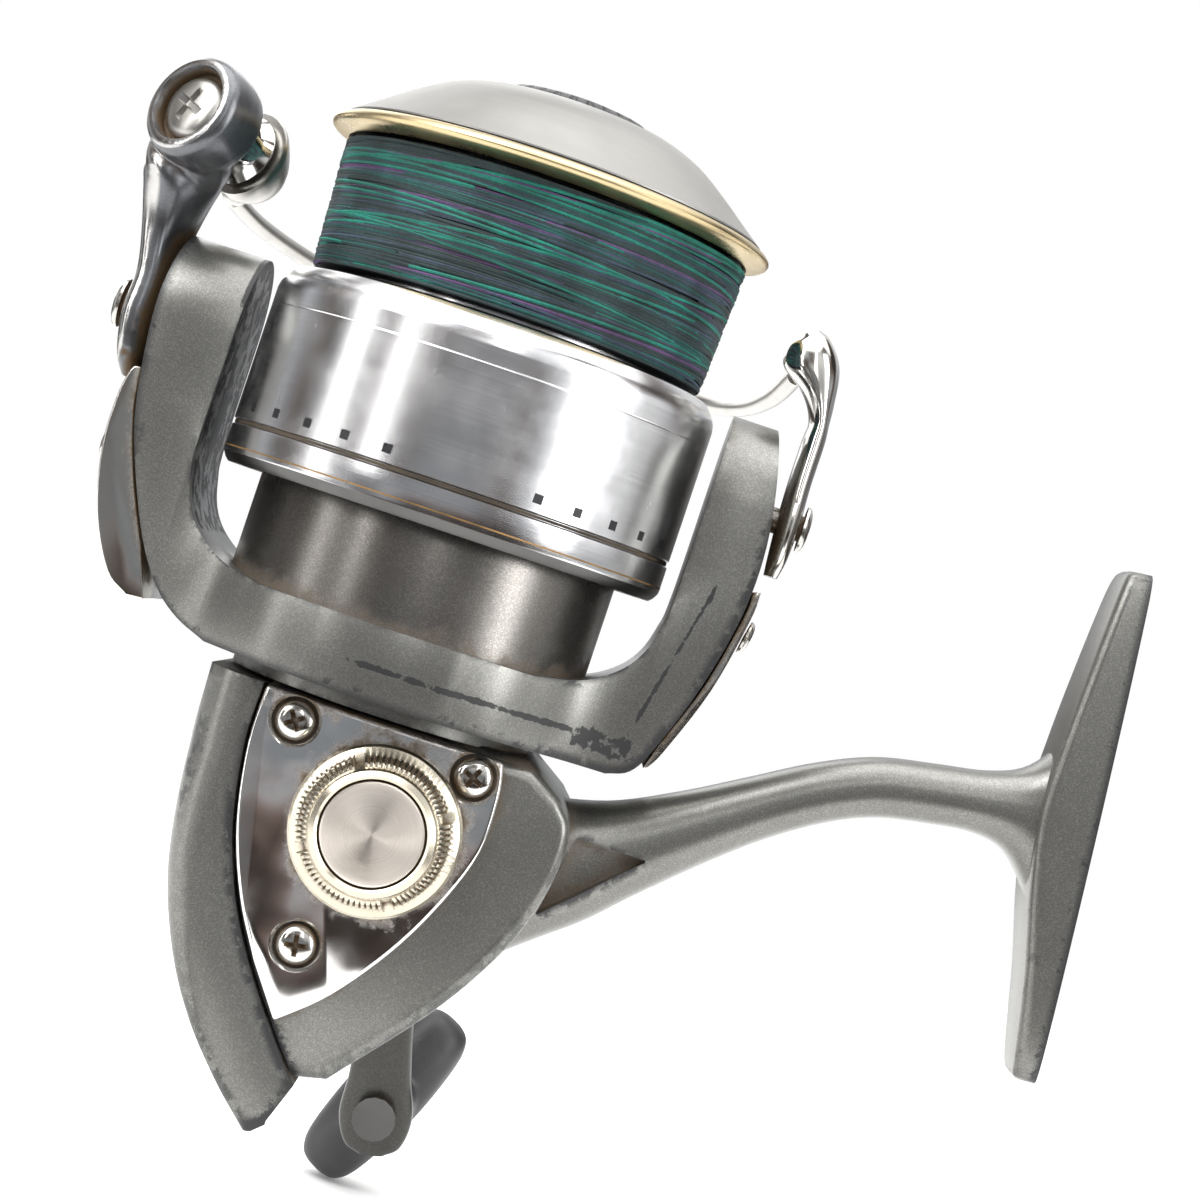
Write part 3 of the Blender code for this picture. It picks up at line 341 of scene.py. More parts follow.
class Finish:
    """One procedural material, wired up a node at a time."""

    def __init__(self, name, slot, colour, roughness, metallic, **constants):
        self.made = bpy.data.materials.new(name)
        self.made.use_nodes = True
        self.slot = slot
        self.tree = self.made.node_tree
        self.shader = self.tree.nodes["Principled BSDF"]
        self.give("Base Color", shade(colour))
        self.give("Roughness", roughness)
        self.give("Metallic", metallic)
        for key, value in constants.items():
            self.give(key.replace("_", " "), value)
        self.place = self.node("TexCoord")["Object"]

    def node(self, kind, inputs=None, **settings):
        return wire(self.tree, kind, inputs, **settings)

    def give(self, socket, value):
        put(self.tree, self.shader.inputs[socket], value)

    def calc(self, how, a, b=0):
        return self.node("Math", {0: a, 1: b}, operation=how)[0]

    def plus(self, a, b):
        return self.calc("ADD", a, b)

    def times(self, a, b):
        return self.calc("MULTIPLY", a, b)

    def minus(self, a, b):
        return self.calc("SUBTRACT", a, b)

    def spread(self, value, low, high):
        """0 below low and 1 above high, smoothly between."""
        inputs = {"Value": value, "From Min": low, "From Max": high}
        return self.node("MapRange", inputs, interpolation_type="SMOOTHSTEP")[0]

    def noise(self, size, detail=3, stretch=None, rough=0.5):
        """Soft blotches about this many millimetres across."""
        place = self.place
        if stretch:
            place = self.node("Mapping", {"Vector": place, "Scale": stretch})[0]
        inputs = {"Vector": place, "Scale": 1 / MM / size, "Detail": detail, "Roughness": rough}
        return self.node("TexNoise", inputs)[0]

    def cells(self, size):
        """A random value for each small cell."""
        inputs = {"Vector": self.place, "Scale": 1 / MM / size}
        colour = self.node("TexVoronoi", inputs)["Color"]
        return self.node("SeparateColor", {0: colour})[0]

    def mix(self, amount, a, b):
        return self.node("Mix", {0: amount, 6: a, 7: b}, data_type="RGBA")[2]

    def blend(self, amount, a, b):
        return self.node("Mix", {0: amount, 2: a, 3: b}, data_type="FLOAT")[0]

    def along(self, axis):
        """The distance along an axis of the reel's own frame, in millimetres."""
        if axis == LEANING:
            return self.minus(self.along(0), self.times(self.along(2), ARM_LEAN))
        value = self.node("SeparateXYZ", {0: self.place})[axis]
        return self.minus(self.times(value, 1 / MM), ORIGIN[axis])

    def window(self, axis, low, high, soft):
        value = self.along(axis)
        rise = self.spread(value, low - soft, low + soft)
        fall = self.spread(value, high - soft, high + soft)
        return self.times(rise, self.minus(1, fall))

    def inside(self, regions):
        """The greatest amount among the regions, each given as (windows, amount)."""
        most = 0
        for windows, amount in regions:
            for window in windows:
                amount = self.times(self.window(*window), amount)
            most = self.calc("MAXIMUM", most, amount)
        return most

    def occlusion(self, reach, inside):
        """How near an outer edge (inside) or a crevice (outside) a point is, from 0 to about 0.5."""
        inputs = {"Distance": reach * MM}
        lit = self.node("AmbientOcclusion", inputs, inside=inside, only_local=inside, samples=6)["AO"]
        return self.minus(1, lit)

    def bump(self, height, strength, depth):
        inputs = {"Height": height, "Strength": strength, "Distance": depth * MM}
        self.give("Normal", self.node("Bump", inputs)[0])

    def layers(self, colour, roughness, metallic, *coats):
        """Lays coats of (amount, colour, roughness, metallic) over the ground and wires all three up."""
        for amount, coat_colour, coat_roughness, coat_metallic in coats:
            colour = self.mix(amount, colour, shade(coat_colour))
            roughness = self.blend(amount, roughness, coat_roughness)
            metallic = self.blend(amount, metallic, coat_metallic)
        self.give("Base Color", colour)
        self.give("Roughness", roughness)
        self.give("Metallic", metallic)


# A made-up axis across the right arm of the rotor, and how far the arm leans per millimetre of height
LEANING, ARM_LEAN = 3, 0.22
# The way the bail arm's bright face looks: surfaces turned this way take the bright colour, partly the arm's
# two-tone face and partly painted highlight on the side turned to the front-left lamps
BAIL_FACE_AND_LIT_SIDE = (-0.8, -0.58, 0.15)
# Millimetres from one lathe line to the next
LATHE_PITCH = 0.26
# Brown for grime, also laid as painted shade in crevices
GRIME_AND_SHADE = (0.105, 0.066, 0.03)
PRIMER = (0.012, 0.012, 0.013)


def flaked(finish, colour, spark=1.4):
    """Metallic paint: dark ground, fine bright flakes and slow clouds."""
    flakes = finish.spread(finish.cells(0.1), 0.45, 1)
    clouds = finish.spread(finish.noise(9, 4), 0.3, 0.75)
    ground = finish.mix(flakes, shade(colour, 0.9), shade(colour, spark))
    return finish.mix(finish.times(clouds, 0.22), ground, shade(colour, 0.6))


def paint(name, slot, colour, regions, stains_and_shade=(), darkening=0.5):
    """Grey metallic paint, chipped to its primer along edges in the regions given as (windows, amount). It is
    darkened with a brown coat in its crevices, found by ambient occlusion, which is painted shade, in its
    stain regions and in noise smears of grime."""
    finish = Finish(name, slot, colour, 0.33, 0.8, Coat_Weight=0.12, Coat_Roughness=0.25)
    edge = finish.occlusion(1.5, True)
    tatter = finish.noise(1.9, 6, rough=0.65)
    worn = finish.plus(finish.times(edge, 1.6), tatter)
    chips = finish.spread(finish.plus(worn, finish.inside(regions)), 1.27, 1.32)
    # The brown coat below is painted shade in crevices found by ambient occlusion, added to the stain regions
    # and to noise smears of grime.
    pocket = finish.occlusion(2.5, False)
    smear = finish.noise(3.2, 5, rough=0.6)
    soil_and_shade = finish.plus(finish.times(pocket, 1.1), finish.inside(stains_and_shade))
    soil_and_shade = finish.spread(finish.plus(soil_and_shade, smear), 0.92, 1.25)
    soil_and_shade = finish.times(soil_and_shade, darkening)
    rubbed = finish.times(finish.spread(edge, 0.18, 0.5), 0.35)
    finish.layers(flaked(finish, colour), 0.33, 0.8, (rubbed, shade(colour, 1.8), 0.28, 0.8),
                  (soil_and_shade, GRIME_AND_SHADE, 0.75, 0), (chips, PRIMER, 0.5, 0))
    finish.bump(finish.noise(0.5, 2), 0.1, 0.08)
    return finish


def chrome(name, slot, regions=(), darkening=0, colour=(0.8, 0.79, 0.77), roughness=0.07, wave=0.25):
    """Bright plating with a slightly uneven face, darkened with a brown coat in its crevices, found by
    ambient occlusion, which is painted shade, and in the regions, over noise smears of grime.
    """
    finish = Finish(name, slot, colour, roughness, 1)
    smear = finish.noise(2.6, 6, rough=0.65)
    # The brown coat is painted shade in crevices found by ambient occlusion, together with noise smears of
    # grime and the regions.
    pocket = finish.occlusion(2.2, False)
    soil_and_shade = finish.plus(finish.times(pocket, 1.1 * darkening), smear)
    soil_and_shade = finish.spread(finish.plus(soil_and_shade, finish.inside(regions)), 0.74, 1)
    hazy = finish.spread(finish.noise(6, 4), 0.4, 0.75)
    finish.layers(finish.mix(hazy, shade(colour), shade(colour, 0.88)),
                  finish.blend(hazy, roughness, roughness + 0.06), 1, (soil_and_shade, GRIME_AND_SHADE, 0.7, 0.15))
    finish.bump(finish.noise(7, 1), wave, 0.25)
    return finish


def turned_metal(name, slot, colour, roughness, spin, ring=0.5, cross=0.85):
    """Metal with lathe lines about Z: its highlights stretch across the lines."""
    finish = Finish(name, slot, colour, roughness, 1, Anisotropic=spin)
    lines = finish.noise(1, 3, (0.02, 0.02, 1 / LATHE_PITCH))
    cloud = finish.spread(finish.noise(5, 4), 0.35, 0.8)
    scratch = finish.spread(finish.noise(0.35, 4, (1, 1, 0.12)), 0.66, 0.72)
    finish.layers(finish.mix(lines, shade(colour), shade(colour, cross)),
                  finish.blend(cloud, roughness, roughness + 0.1), 1,
                  (finish.times(scratch, 0.25), shade(colour, 0.7), 0.4, 1))
    finish.give("Tangent", finish.node("Tangent", direction_type="RADIAL", axis="Z")[0])
    finish.bump(lines, ring * 0.2, 0.03)
    return finish


def plain(name, slot, colour, roughness, metallic, grain, depth, tint=0.75, **constants):
    """A simple solid: a slow change of colour and a fine grain."""
    finish = Finish(name, slot, colour, roughness, metallic, **constants)
    cloud = finish.spread(finish.noise(grain * 14, 4), 0.3, 0.75)
    finish.layers(finish.mix(cloud, shade(colour), shade(colour, tint)),
                  finish.blend(cloud, roughness, min(1, roughness + 0.12)), metallic)
    finish.bump(finish.noise(grain, 3), 0.35, depth)
    return finish


GREY = (0.186, 0.185, 0.172)
# The last region paints the inner face of the left arm nearly black with the chipped-primer coat: painted
# shade on the side turned from the light.
rotor_paint = paint("rotor_grey", "rotor_paint", GREY,
                    [([(0, 20, 31, 3), (2, 14.6, 18.6, 1.4), (1, -30, -6, 1)], 0.86),
                     ([(0, -6, 24, 4), (2, 16.5, 17.7, 0.5), (1, -30, -6, 1)], 0.93),
                     ([(LEANING, 23.5, 24.6, 0.7), (2, 18, 40, 3), (1, -30, -6, 1)], 0.91),
                     ([(0, 18, 45, 5), (2, 10, 22, 3)], 0.62),
                     ([(0, -34, 30, 5), (2, 10, 18, 3)], 0.46),
                     ([(0, 31, 45, 2), (2, 22, 46, 4)], 0.56),
                     ([(0, -45, -30, 2), (2, 30, 60, 4)], 0.44),
                     ([(0, -28.9, -18, 0.2), (2, 24.6, 60, 0.8), (1, -9.4, 30, 0.4)], 0.8)], darkening=0.75)
# Its stain regions darken the stem's recess and the housing just under the rotor, which is painted shade, and
# the body towards its tail.
housing_paint = paint("housing_grey", "housing_paint", GREY,
                      [([(2, -40, 6, 6), (1, -20, -8, 2)], 0.54),
                       ([(0, 76, 90, 2)], 0.44)],
                      [([(0, 22, 35, 1), (2, -6, 6.6, 1), (1, -6.3, 6.3, 0.4)], 0.27),
                       ([(0, 14, 27, 2), (2, 4, 14, 3)], 0.3),
                       ([(2, -40, -20, 8)], 0.12)], 0.7)
handle_paint = paint("handle_grey", "handle_paint", (0.062, 0.061, 0.057),
                     [([(2, -70, 10, 5)], 0.2)], darkening=0.4)


def two_tone(name, slot, face_and_highlight_colour, side_colour):
    """A bright rubbed face and a darker satin band round its side. The face is picked by which way the
    surface turns, so it is partly painted highlight; the coat is darker towards the bail's pivot and, as
    painted shade, in crevices found by ambient occlusion, with noise smears of grime.
    """
    finish = Finish(name, slot, side_colour, 0.3, 0.85)
    # The bright colour goes on surfaces turned towards the front-left lamps: partly painted highlight.
    inputs = {0: finish.node("TexCoord")["Normal"], 1: BAIL_FACE_AND_LIT_SIDE}
    facing = finish.node("VectorMath", inputs, operation="DOT_PRODUCT")["Value"]
    face = finish.spread(facing, 0.66, 0.76)
    # The brown coat: darker towards the pivot, painted shade in crevices found by ambient occlusion, and
    # noise smears of grime.
    smear = finish.noise(2.2, 6, rough=0.65)
    low = finish.minus(1, finish.spread(finish.along(2), 46, 60))
    pocket = finish.times(finish.occlusion(2, False), 1.3)
    soil_and_shade = finish.plus(finish.plus(finish.times(low, 0.3), smear), pocket)
    finish.layers(flaked(finish, side_colour, 1.15), finish.blend(smear, 0.26, 0.38), 0.85,
                  (face, face_and_highlight_colour, 0.24, 1),
                  (finish.spread(soil_and_shade, 0.8, 1.05), GRIME_AND_SHADE, 0.7, 0.1))
    finish.bump(finish.noise(0.8, 3), 0.1, 0.08)
    return finish


bail_paint = two_tone("bail_two_tone_and_highlight", "bail_paint", (0.46, 0.455, 0.445), (0.15, 0.154, 0.162))


def gunmetal_finish(name, slot, colour):
    """The rotor's drum: darker metallic paint with a brown coat deep in its crevices, found by ambient
    occlusion: painted shade, broken up by noise.
    """
    finish = Finish(name, slot, colour, 0.27, 0.92)
    soil_and_shade = finish.plus(finish.occlusion(3, False), finish.noise(3, 5))
    finish.layers(flaked(finish, colour), finish.blend(finish.noise(8, 4), 0.22, 0.34), 0.92,
                  (finish.times(finish.spread(soil_and_shade, 0.72, 1.1), 0.6), GRIME_AND_SHADE, 0.8, 0))
    return finish


gunmetal = gunmetal_finish("drum_gunmetal", "rotor_paint", (0.17, 0.162, 0.15))
# The plate's regions darken its top just under the rotor, which is painted shade, and its middle a little.
plate_chrome = chrome("plate_chrome", "bright_chrome",
                      [([(2, 9.2, 14, 1.5)], 0.3),
                       ([(0, -4, 18, 2), (2, 6.5, 12, 1.5)], 0.2),
                       ([(0, -5.5, 15.5, 0.8), (2, -10.4, 10.4, 0.8)], 0.1)], 0.55, wave=0.4)
bright = chrome("bright_chrome", "bright_chrome", (), 0.35)
grimy_chrome = chrome("worn_chrome", "bright_chrome", (), 0.9, (0.6, 0.585, 0.55), 0.13)
champagne = chrome("champagne_cap", "bright_chrome", (), 0.8, (0.6, 0.545, 0.44), 0.2)
steel = chrome("steel", "plain_steel", (), 0.1, (0.6, 0.6, 0.6), 0.2)
pearl = chrome("wire_pearl", "plain_steel", (), 0.25, (0.5, 0.49, 0.46), 0.3, 0.1)
blackened = chrome("blackened_steel", "plain_steel", (), 0.4, (0.12, 0.118, 0.115), 0.3, 0.1)
skirt = turned_metal("skirt_aluminium", "turned_aluminium", (0.8, 0.8, 0.81), 0.17, 0.75)
satin = turned_metal("satin_cap", "satin_silver", (0.3, 0.295, 0.28), 0.4, 0.5, 0.8, 0.9)
gold = turned_metal("gold_lip", "gold_lip", (0.6, 0.485, 0.28), 0.27, 0.4, 0.3)
rubber = plain("knob_rubber", "dark_rubber", (0.034, 0.034, 0.036), 0.42, 0, 0.5, 0.1, 0.6)
plastic = plain("black_plastic", "black_plastic", (0.03, 0.03, 0.03), 0.45, 0, 0.4, 0.05)
brass = plain("brass", "yellow_brass", (0.62, 0.45, 0.2), 0.3, 1, 0.6, 0.03)
zinc = plain("cast_zinc", "cast_zinc", (0.42, 0.42, 0.41), 0.45, 0.9, 0.5, 0.05)
felt = plain("felt", "grey_felt", (0.22, 0.21, 0.19), 0.95, 0, 0.25, 0.1)
dark_mark = plain("mark_ink", "black_plastic", (0.01, 0.01, 0.012), 0.35, 0, 0.4, 0.01)
rust = plain("groove_rust", "gold_lip", (0.34, 0.2, 0.075), 0.55, 0.6, 0.4, 0.02, 0.35)
soot = plain("groove_dirt", "black_plastic", (0.075, 0.055, 0.035), 0.6, 0.3, 0.4, 0.02, 0.5)


def braid(name, colour):
    finish = Finish(name, "braided_line", colour, 0.62, 0, Specular_IOR_Level=0.35)
    dashes = finish.spread(finish.noise(6, 4), 0.35, 0.65)
    fleck = finish.cells(0.22)
    tone = finish.mix(dashes, shade(colour, 0.65), shade(colour, 1.25))
    tone = finish.mix(finish.times(fleck, 0.4), tone, shade(colour, 0.35))
    finish.give("Base Color", tone)
    finish.bump(fleck, 0.35, 0.05)
    return finish


BRAIDS = {
    "deep": braid("braid_deep", (0.022, 0.04, 0.042)),
    "teal": braid("braid_teal", (0.01, 0.07, 0.064)),
    "green": braid("braid_green", (0.01, 0.175, 0.13)),
    "blue": braid("braid_blue", (0.036, 0.058, 0.088)),
    "purple": braid("braid_purple", (0.095, 0.052, 0.135)),
}

SLOT_FINISHES = {finish.slot: finish for finish in (
    housing_paint, rotor_paint, bail_paint, handle_paint, bright, steel, brass, zinc, skirt, gold, satin,
    BRAIDS["deep"], plastic, rubber, felt)}
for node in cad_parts.values():
    for held in node.material_slots:
        held.material = SLOT_FINISHES[held.material.name].made
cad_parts["knob_spindle"].material_slots[0].material = blackened.made


# --- housing, stem and foot -----------------------------------------------------------------------------

def inset(outline, distance):
    moved = []
    for k in range(len(outline)):
        before, here, after = (Vector(outline[(k + d) % len(outline)]) for d in (-1, 0, 1))
        first, second = (here - before).normalized(), (after - here).normalized()
        normal = Vector((-first.y - second.y, first.x + second.x)).normalized()
        lean = max(0.5, normal.dot(Vector((-first.y, first.x))))
        moved.append(tuple(here + normal * (distance / lean)))
    return moved


def parting(shift=0):
    """The line between the two covers, moved along X."""
    return [(x + shift, z) for x, z in run(PARTING)]


def build_housing():
    cavity = inset(REAR_EDGE[:-1] + [(3, -29.5)] + RIGHT_EDGE, 1.8)
    outline = parting(GAP) + run(RIGHT_EDGE[:-1]) + [(18.5, 12.2)]
    outline[0] = (outline[0][0], 12.2)
    body = soften(prism("frame_detail", outline, -13.2, 15), 1.3, 4, 50)
    nose = lathe("nose_form", [(0, 19.8), (17.4, 19.8), (17.9, 19.3), (17.9, 11.9), (0, 11.9)])
    shape = [((9.2, -11), 53, 9.4, 8), ((14.4, -5.4), 49, 9.3, 8.2), ((19.6, -1.2), 43, 9, 8.2),
             ((25.6, 1.9), 38, 7.6, 7.6), ((32, 5.4), 34, 5.6, 6.3),
             ((38.5, 9.9), 33, 4.4, 5.5), ((45, 14.5), 32, 3.7, 5), ((51.5, 18.6), 26, 3.5, 4.8),
             ((57.5, 21.3), 15, 3.5, 4.7), ((64, 22.7), 6, 3.5, 4.8), ((69.5, 23.6), 2, 3.7, 5),
             ((73.6, 24.2), 0, 5, 5.3), ((76.6, 24.8), 0, 8.2, 5.6), ((79, 25), 0, 11.5, 5.6)]
    stations = []
    for (x, z), slope, half_height, half_width in shape:
        turn = radians(slope)
        through = (-sin(turn), 0, cos(turn))
        stations.append(((x, 0, z), FAR, half_width, through, half_height))
    stem = loft("stem_form", stations, 70, 40, 2.5)
    for side in (-1, 1):
        ends = sorted((side * 4.4, side * 12))
        pocket = prism(f"pocket_form_{side}", [(24.6, -4.6), (34.9, 5.2), (26.4, 5.3)], *ends)
        cut(stem, soften(pocket, 0.4, 2))
    along = Vector((-sin(FOOT_TILT), 0, cos(FOOT_TILT)))
    out = Vector((cos(FOOT_TILT), 0, sin(FOOT_TILT)))
    shape = [(-30.2, 3.6, 1.1), (-29.4, 4.6, 1.35), (-26, 5.4, 1.6), (-18, 6, 2.1), (-9, 6.3, 2.9),
             (0, 6.4, 3.4), (9, 6.3, 3), (18, 6, 2.4), (26, 5.4, 1.8), (28.9, 4.6, 1.5), (29.7, 3.6, 1.2)]
    rings = []
    for s, half_width, thick in spline(shape, 60):
        face, thick = FOOT_FACE + along * s, 2 * thick
        section = [(0, half_width)]
        for k in range(7):
            turn = radians(15 * k)
            section.append((thick - FOOT_ROUND * (1 - sin(turn)),
                            half_width - FOOT_ROUND * (1 - cos(turn))))
        section += [(depth, -y) for depth, y in section[::-1]]
        rings.append([face - out * depth + Vector((0, y, 0)) for depth, y in section])
    foot = skinned("foot_form", rings)
    join(body, stem, foot, nose)
    cut(body, prism("cavity_form", cavity, -15.5, 12.6))
    well = [(15.9 * cos(a), max(-12.3, min(12.4, 15.9 * sin(a))))
            for a in (2 * pi * (k + 0.5) / 64 for k in range(64))]
    cut(body, prism("top_form", well, 8, 12.2, "Z"), rod("nose_well_form", 16.3, 12, 15.2),
        rod("bearing_form", 7.8, 10, 21),
        rod("gear_form", 15.4, -8.4, -3.5, HUB, NEAR))
    join(body, box("bridge_form", (-10.6, -5, 3.9), (24.4, 2.9, 6.9)),
         rod("boss_form", 8.4, -19, -9.2, HUB, NEAR))
    cut(body, rod("bush_form", 4.5, 3, 8),
        lathe("far_hole_form", [(0, -8), (6.8, -8), (6.8, -18), (4.1, -18), (4.1, -20),
                                (0, -20)], HUB, NEAR, 64))
    dress(body, housing_paint, "body", "body_frame")

    # Both covers are rounded first and then parted, so that the line between them stays crisp
    edge = run(REAR_EDGE) + [(3.6, -34.2)]
    wall = parting(7)[::-1]
    rings = []
    for face, way in ((-17, 1), (15.6, -1)):
        for k in range(9)[::way]:
            turn = radians(90 * k / 8)
            inward, deeper = 1 - sin(turn), way * (1 - cos(turn))
            ring = []
            for x, z in edge:
                # The rounding is 5.5 mm high up and 1 mm at the tip
                round_r = 1 + 4.5 * min(1, max(0, (z + 28) / 30))
                shift = round_r * inward
                ring.append((x + 0.93 * shift, face + round_r * deeper, min(z + 0.3 * shift, COVER_TOP)))
            rings.append(ring + [(x, face + 1.6 * deeper, z) for x, z in wall])
    shell = skinned("rear_detail", rings)
    beyond = [(-11.9, 14)] + parting() + [(3.6, -34.3), (3.8, -45), (45, -45), (45, 14)]
    cut(shell, prism("parting_form", beyond, -20, 20), prism("rear_cavity_form", cavity, -14.5, 12.6))
    dress(soften(shell, 0.25, 2, 50), housing_paint, "body", "rear_cover")

    wide = parting(GAP - 4) + run(RIGHT_EDGE[:-1]) + [(19.2, COVER_TOP)]
    lid = soften(prism("side_detail", wide, -16.2, -13.5), 2, 5, 50)
    before = [(-30, 14), (-11.6, 14)] + parting(GAP) + [(5.6, -45), (-30, -45)]
    cut(lid, prism("parting_form", before, -20, 20))
    soften(lid, 0.25, 2, 50)
    join(lid, lathe("near_boss_form", [(8.2, 15), (8.2, 11.6), (5.2, 11.6), (5.2, 15)], HUB, NEAR, 64))
    cut(lid, rod("near_bearing_form", 5.9, 11, 15.6, HUB, NEAR),
        rod("near_shaft_form", 4.4, 15, 18, HUB, NEAR))
    plate = prism("plate_detail", run(PLATE_LEFT) + run(PLATE_RIGHT), PLATE_FRONT, -16.5)
    soften(plate, 0.45, 3, 50)
    for number, (x, z) in enumerate(SIDE_SCREWS, 1):
        hole = [(0, 20), (3.05, 20), (3.05, 17.65), (2.65, 17.2), (2.65, 14), (0, 14)]
        cut(plate, lathe(f"plate_hole_{number}", hole, (x, 0, z), NEAR, 48))
        cut(lid, rod(f"lid_hole_{number}", 1.4, 12, 20, (x, 0, z), NEAR, 24))
    dress(lid, housing_paint, "body", "side_cover")
    dress(plate, plate_chrome, "body", "side_plate")


def build_side_cap():
    base = -PLATE_FRONT + GAP
    teeth = 80

    def knurl(row, turn, radius):
        if row not in (5, 6, 7):
            return radius
        notch = any(abs((turn - middle + 0.5) % 1 - 0.5) < 0.011 for middle in (0.08, 0.33, 0.58, 0.83))
        deep = (turn * teeth) % 1 > 0.5
        return radius - (0.75 if notch else 0.3 if deep else 0)

    profile = [(6.3, 5.6), (6.9, 5.3), (7.15, 4.9), (7.2, 4.6), (7.25, 4.5), (7.75, 4.4), (8.3, 3.6),
               (8.45, 2.6), (8.75, 2.3), (9.3, 2), (9.6, 1.5), (9.6, 0), (5.4, 0), (5.4, 4.2), (6, 4.6),
               (6, 5.4)]
    cap = lathe("cap_detail", [(r, base + h) for r, h in profile], HUB, NEAR, teeth * 4, knurl)
    dress(cap, champagne, "body", "side_cap", angle=30)
    disc = [(0, 5.45), (5.3, 5.45), (5.7, 5.35), (5.8, 5.2), (5.8, 4.9), (0, 4.9)]
    disc = lathe("cap_disc_detail", [(r, base + h) for r, h in disc], HUB, NEAR)
    dress(disc, spun_disc(), "body", "side_cap_disc")


def spun_disc():
    """A disc faced on a lathe about the crank's axis: fine rings, and a highlight that fans out."""
    colour = (0.84, 0.77, 0.7)
    finish = Finish("spun_disc", "plain_steel", colour, 0.24, 1, Anisotropic=0.85)
    x = finish.minus(finish.along(0), CRANK_X)
    z = finish.along(2)
    reach = finish.calc("SQRT", finish.plus(finish.times(x, x), finish.times(z, z)))
    inputs = {"W": finish.times(reach, 5), "Scale": 1}
    rings = finish.node("TexNoise", inputs, noise_dimensions="1D")[0]
    # Here the brown coat follows noise alone, with no painted shade.
    soil_and_shade = finish.times(finish.spread(finish.noise(3, 5), 0.58, 0.8), 0.4)
    finish.layers(finish.mix(rings, shade(colour), (0.6, 0.545, 0.48, 1)), finish.blend(rings, 0.3, 0.42),
                  1, (soil_and_shade, GRIME_AND_SHADE, 0.6, 0.3))
    finish.give("Tangent", finish.node("Tangent", direction_type="RADIAL", axis="Y")[0])
    finish.bump(rings, 0.25, 0.02)
    return finish


# --- screws ---------------------------------------------------------------------------------------------

def build_screw(node, at, axis, head_r, head_h, shank_r, shank, body="rotor", finish=grimy_chrome, turn=20):
    """A cross-head screw with its head's underside at a point and its head out along an axis."""
    dome = [(0, 1), (0.45, 0.97), (0.72, 0.84), (0.9, 0.6), (1, 0.3), (1, 0)]
    dome = [(head_r * across, head_h * up) for across, up in dome]
    screw = lathe(node + "_detail", dome + [(shank_r, 0), (shank_r, -shank), (0, -shank)], at, axis, 48)
    a, b = 0.6 * head_r, 0.13 * head_r
    quarter = [(a, -b), (a, b), (b, b), (b, a), (-b, a), (-b, b)]
    cross = quarter + [(-x, -y) for x, y in quarter]
    aim = Vector((0, 0, 1)).rotation_difference(Vector(axis)).to_matrix()
    spin = aim @ Matrix.Rotation(radians(turn), 3, "Z")
    levels = ((0.35 * head_h, 0.55), (1.3 * head_h, 1.15))
    rings = [[Vector(at) + spin @ Vector((x * k, y * k, h)) for x, y in cross] for h, k in levels]
    cut(screw, skinned(node + "_cross", rings))
    dress(screw, finish, body, node)


# --- rotor and bail -------------------------------------------------------------------------------------

def build_rotor():
    inner = run(BAND_INNER)
    band = run(BAND_OUTER_RIGHT) + run(BAND_OUTER_LEFT) + [(-x, z) for x, z in inner] + inner[::-1]
    rotor = prism("rotor_detail", band, -26, 26)
    half = run(BAND_PLAN)
    half = half + [(x, -y) for x, y in half[::-1]]
    plan = half + [(0, -24.2)] + [(-x, y) for x, y in half[::-1]] + [(0, 24.2)]
    side = [(25, 12)] + run(BAND_SIDE)
    top = [(ARM_TOP_R * cos(turn), BAIL_PIVOT_Z + ARM_TOP_R * sin(turn))
           for turn in (pi * k / 32 for k in range(1, 32))]
    side = side + top + [(-y, z) for y, z in side[::-1]]
    forms = prism("plan_form", plan, 10, 60, "Z"), prism("side_form", side, -45, 45, "X")
    combine(rotor, forms, "INTERSECT")
    soften(rotor, 1.3, 3, 42)
    drum = [(19.9, 42.6), (21.1, 42.6), (21.4, 42.45), (DRUM_R, 42.1), (DRUM_R, 15), (18.9, 15), (18.9, 26.2),
            (3.8, 26.2), (3.8, 29.4), (19.7, 29.4)]
    cut(rotor, rod("drum_space_form", DRUM_R - 0.1, 10, 60, steps=128))
    dress(lathe("drum_detail", drum, steps=128), gunmetal, "rotor")
    cut(rotor, box("spring_form", (-40, -2.9, 29.6), (-29.6, 2.9, 40.6)),
        rod("left_hole_form", 1.8, -45, -31, PIVOT, RIGHT, 24),
        rod("right_hole_form", 1.8, 31, 45, PIVOT, RIGHT, 24))
    dress(rotor, rotor_paint, "rotor", "rotor")

    left = run([(-37.5, 40.4), (-38.5, 39.9), (-39.1, 36.5), (-38.9, 30.4), (-37, 23), (-33.9, 17.2),
                (-31, 15.2)])
    left += [(-28.9, 15.4)] + run([(-31.1, 21.2), (-34.2, 28), (-36.6, 35), (-37.4, 40.2)])
    cover = soften(prism("left_cover_detail", left, -7.6, 7.6), 0.8, 4, 30)
    cut(cover, rod("left_cover_form", 1.4, -45, -30, (0, 0, 31), RIGHT, 24))
    dress(cover, grimy_chrome, "rotor", "arm_cover_left")
    build_screw("arm_cover_screw_left", (-39.4, 0, 31), LEFT, 2.2, 1, 1, 3)
    right = run([(37.45, 38.4), (37.3, 35), (35.6, 26), (32.8, 18), (31.6, 15.6), (31, 15.2)])
    right += run([(31.9, 18.2), (34.7, 26.2), (36.5, 35), (36.65, 38.2)])
    cover = soften(prism("right_cover_detail", right, -6.4, 6.4), 0.2, 2, 40)
    dress(cover, grimy_chrome, "rotor", "arm_cover_right")
    build_screw("arm_cover_screw_right", (37.55, 0, 33), (1, 0, -0.18), 2, 0.8, 0.5, 0.1)


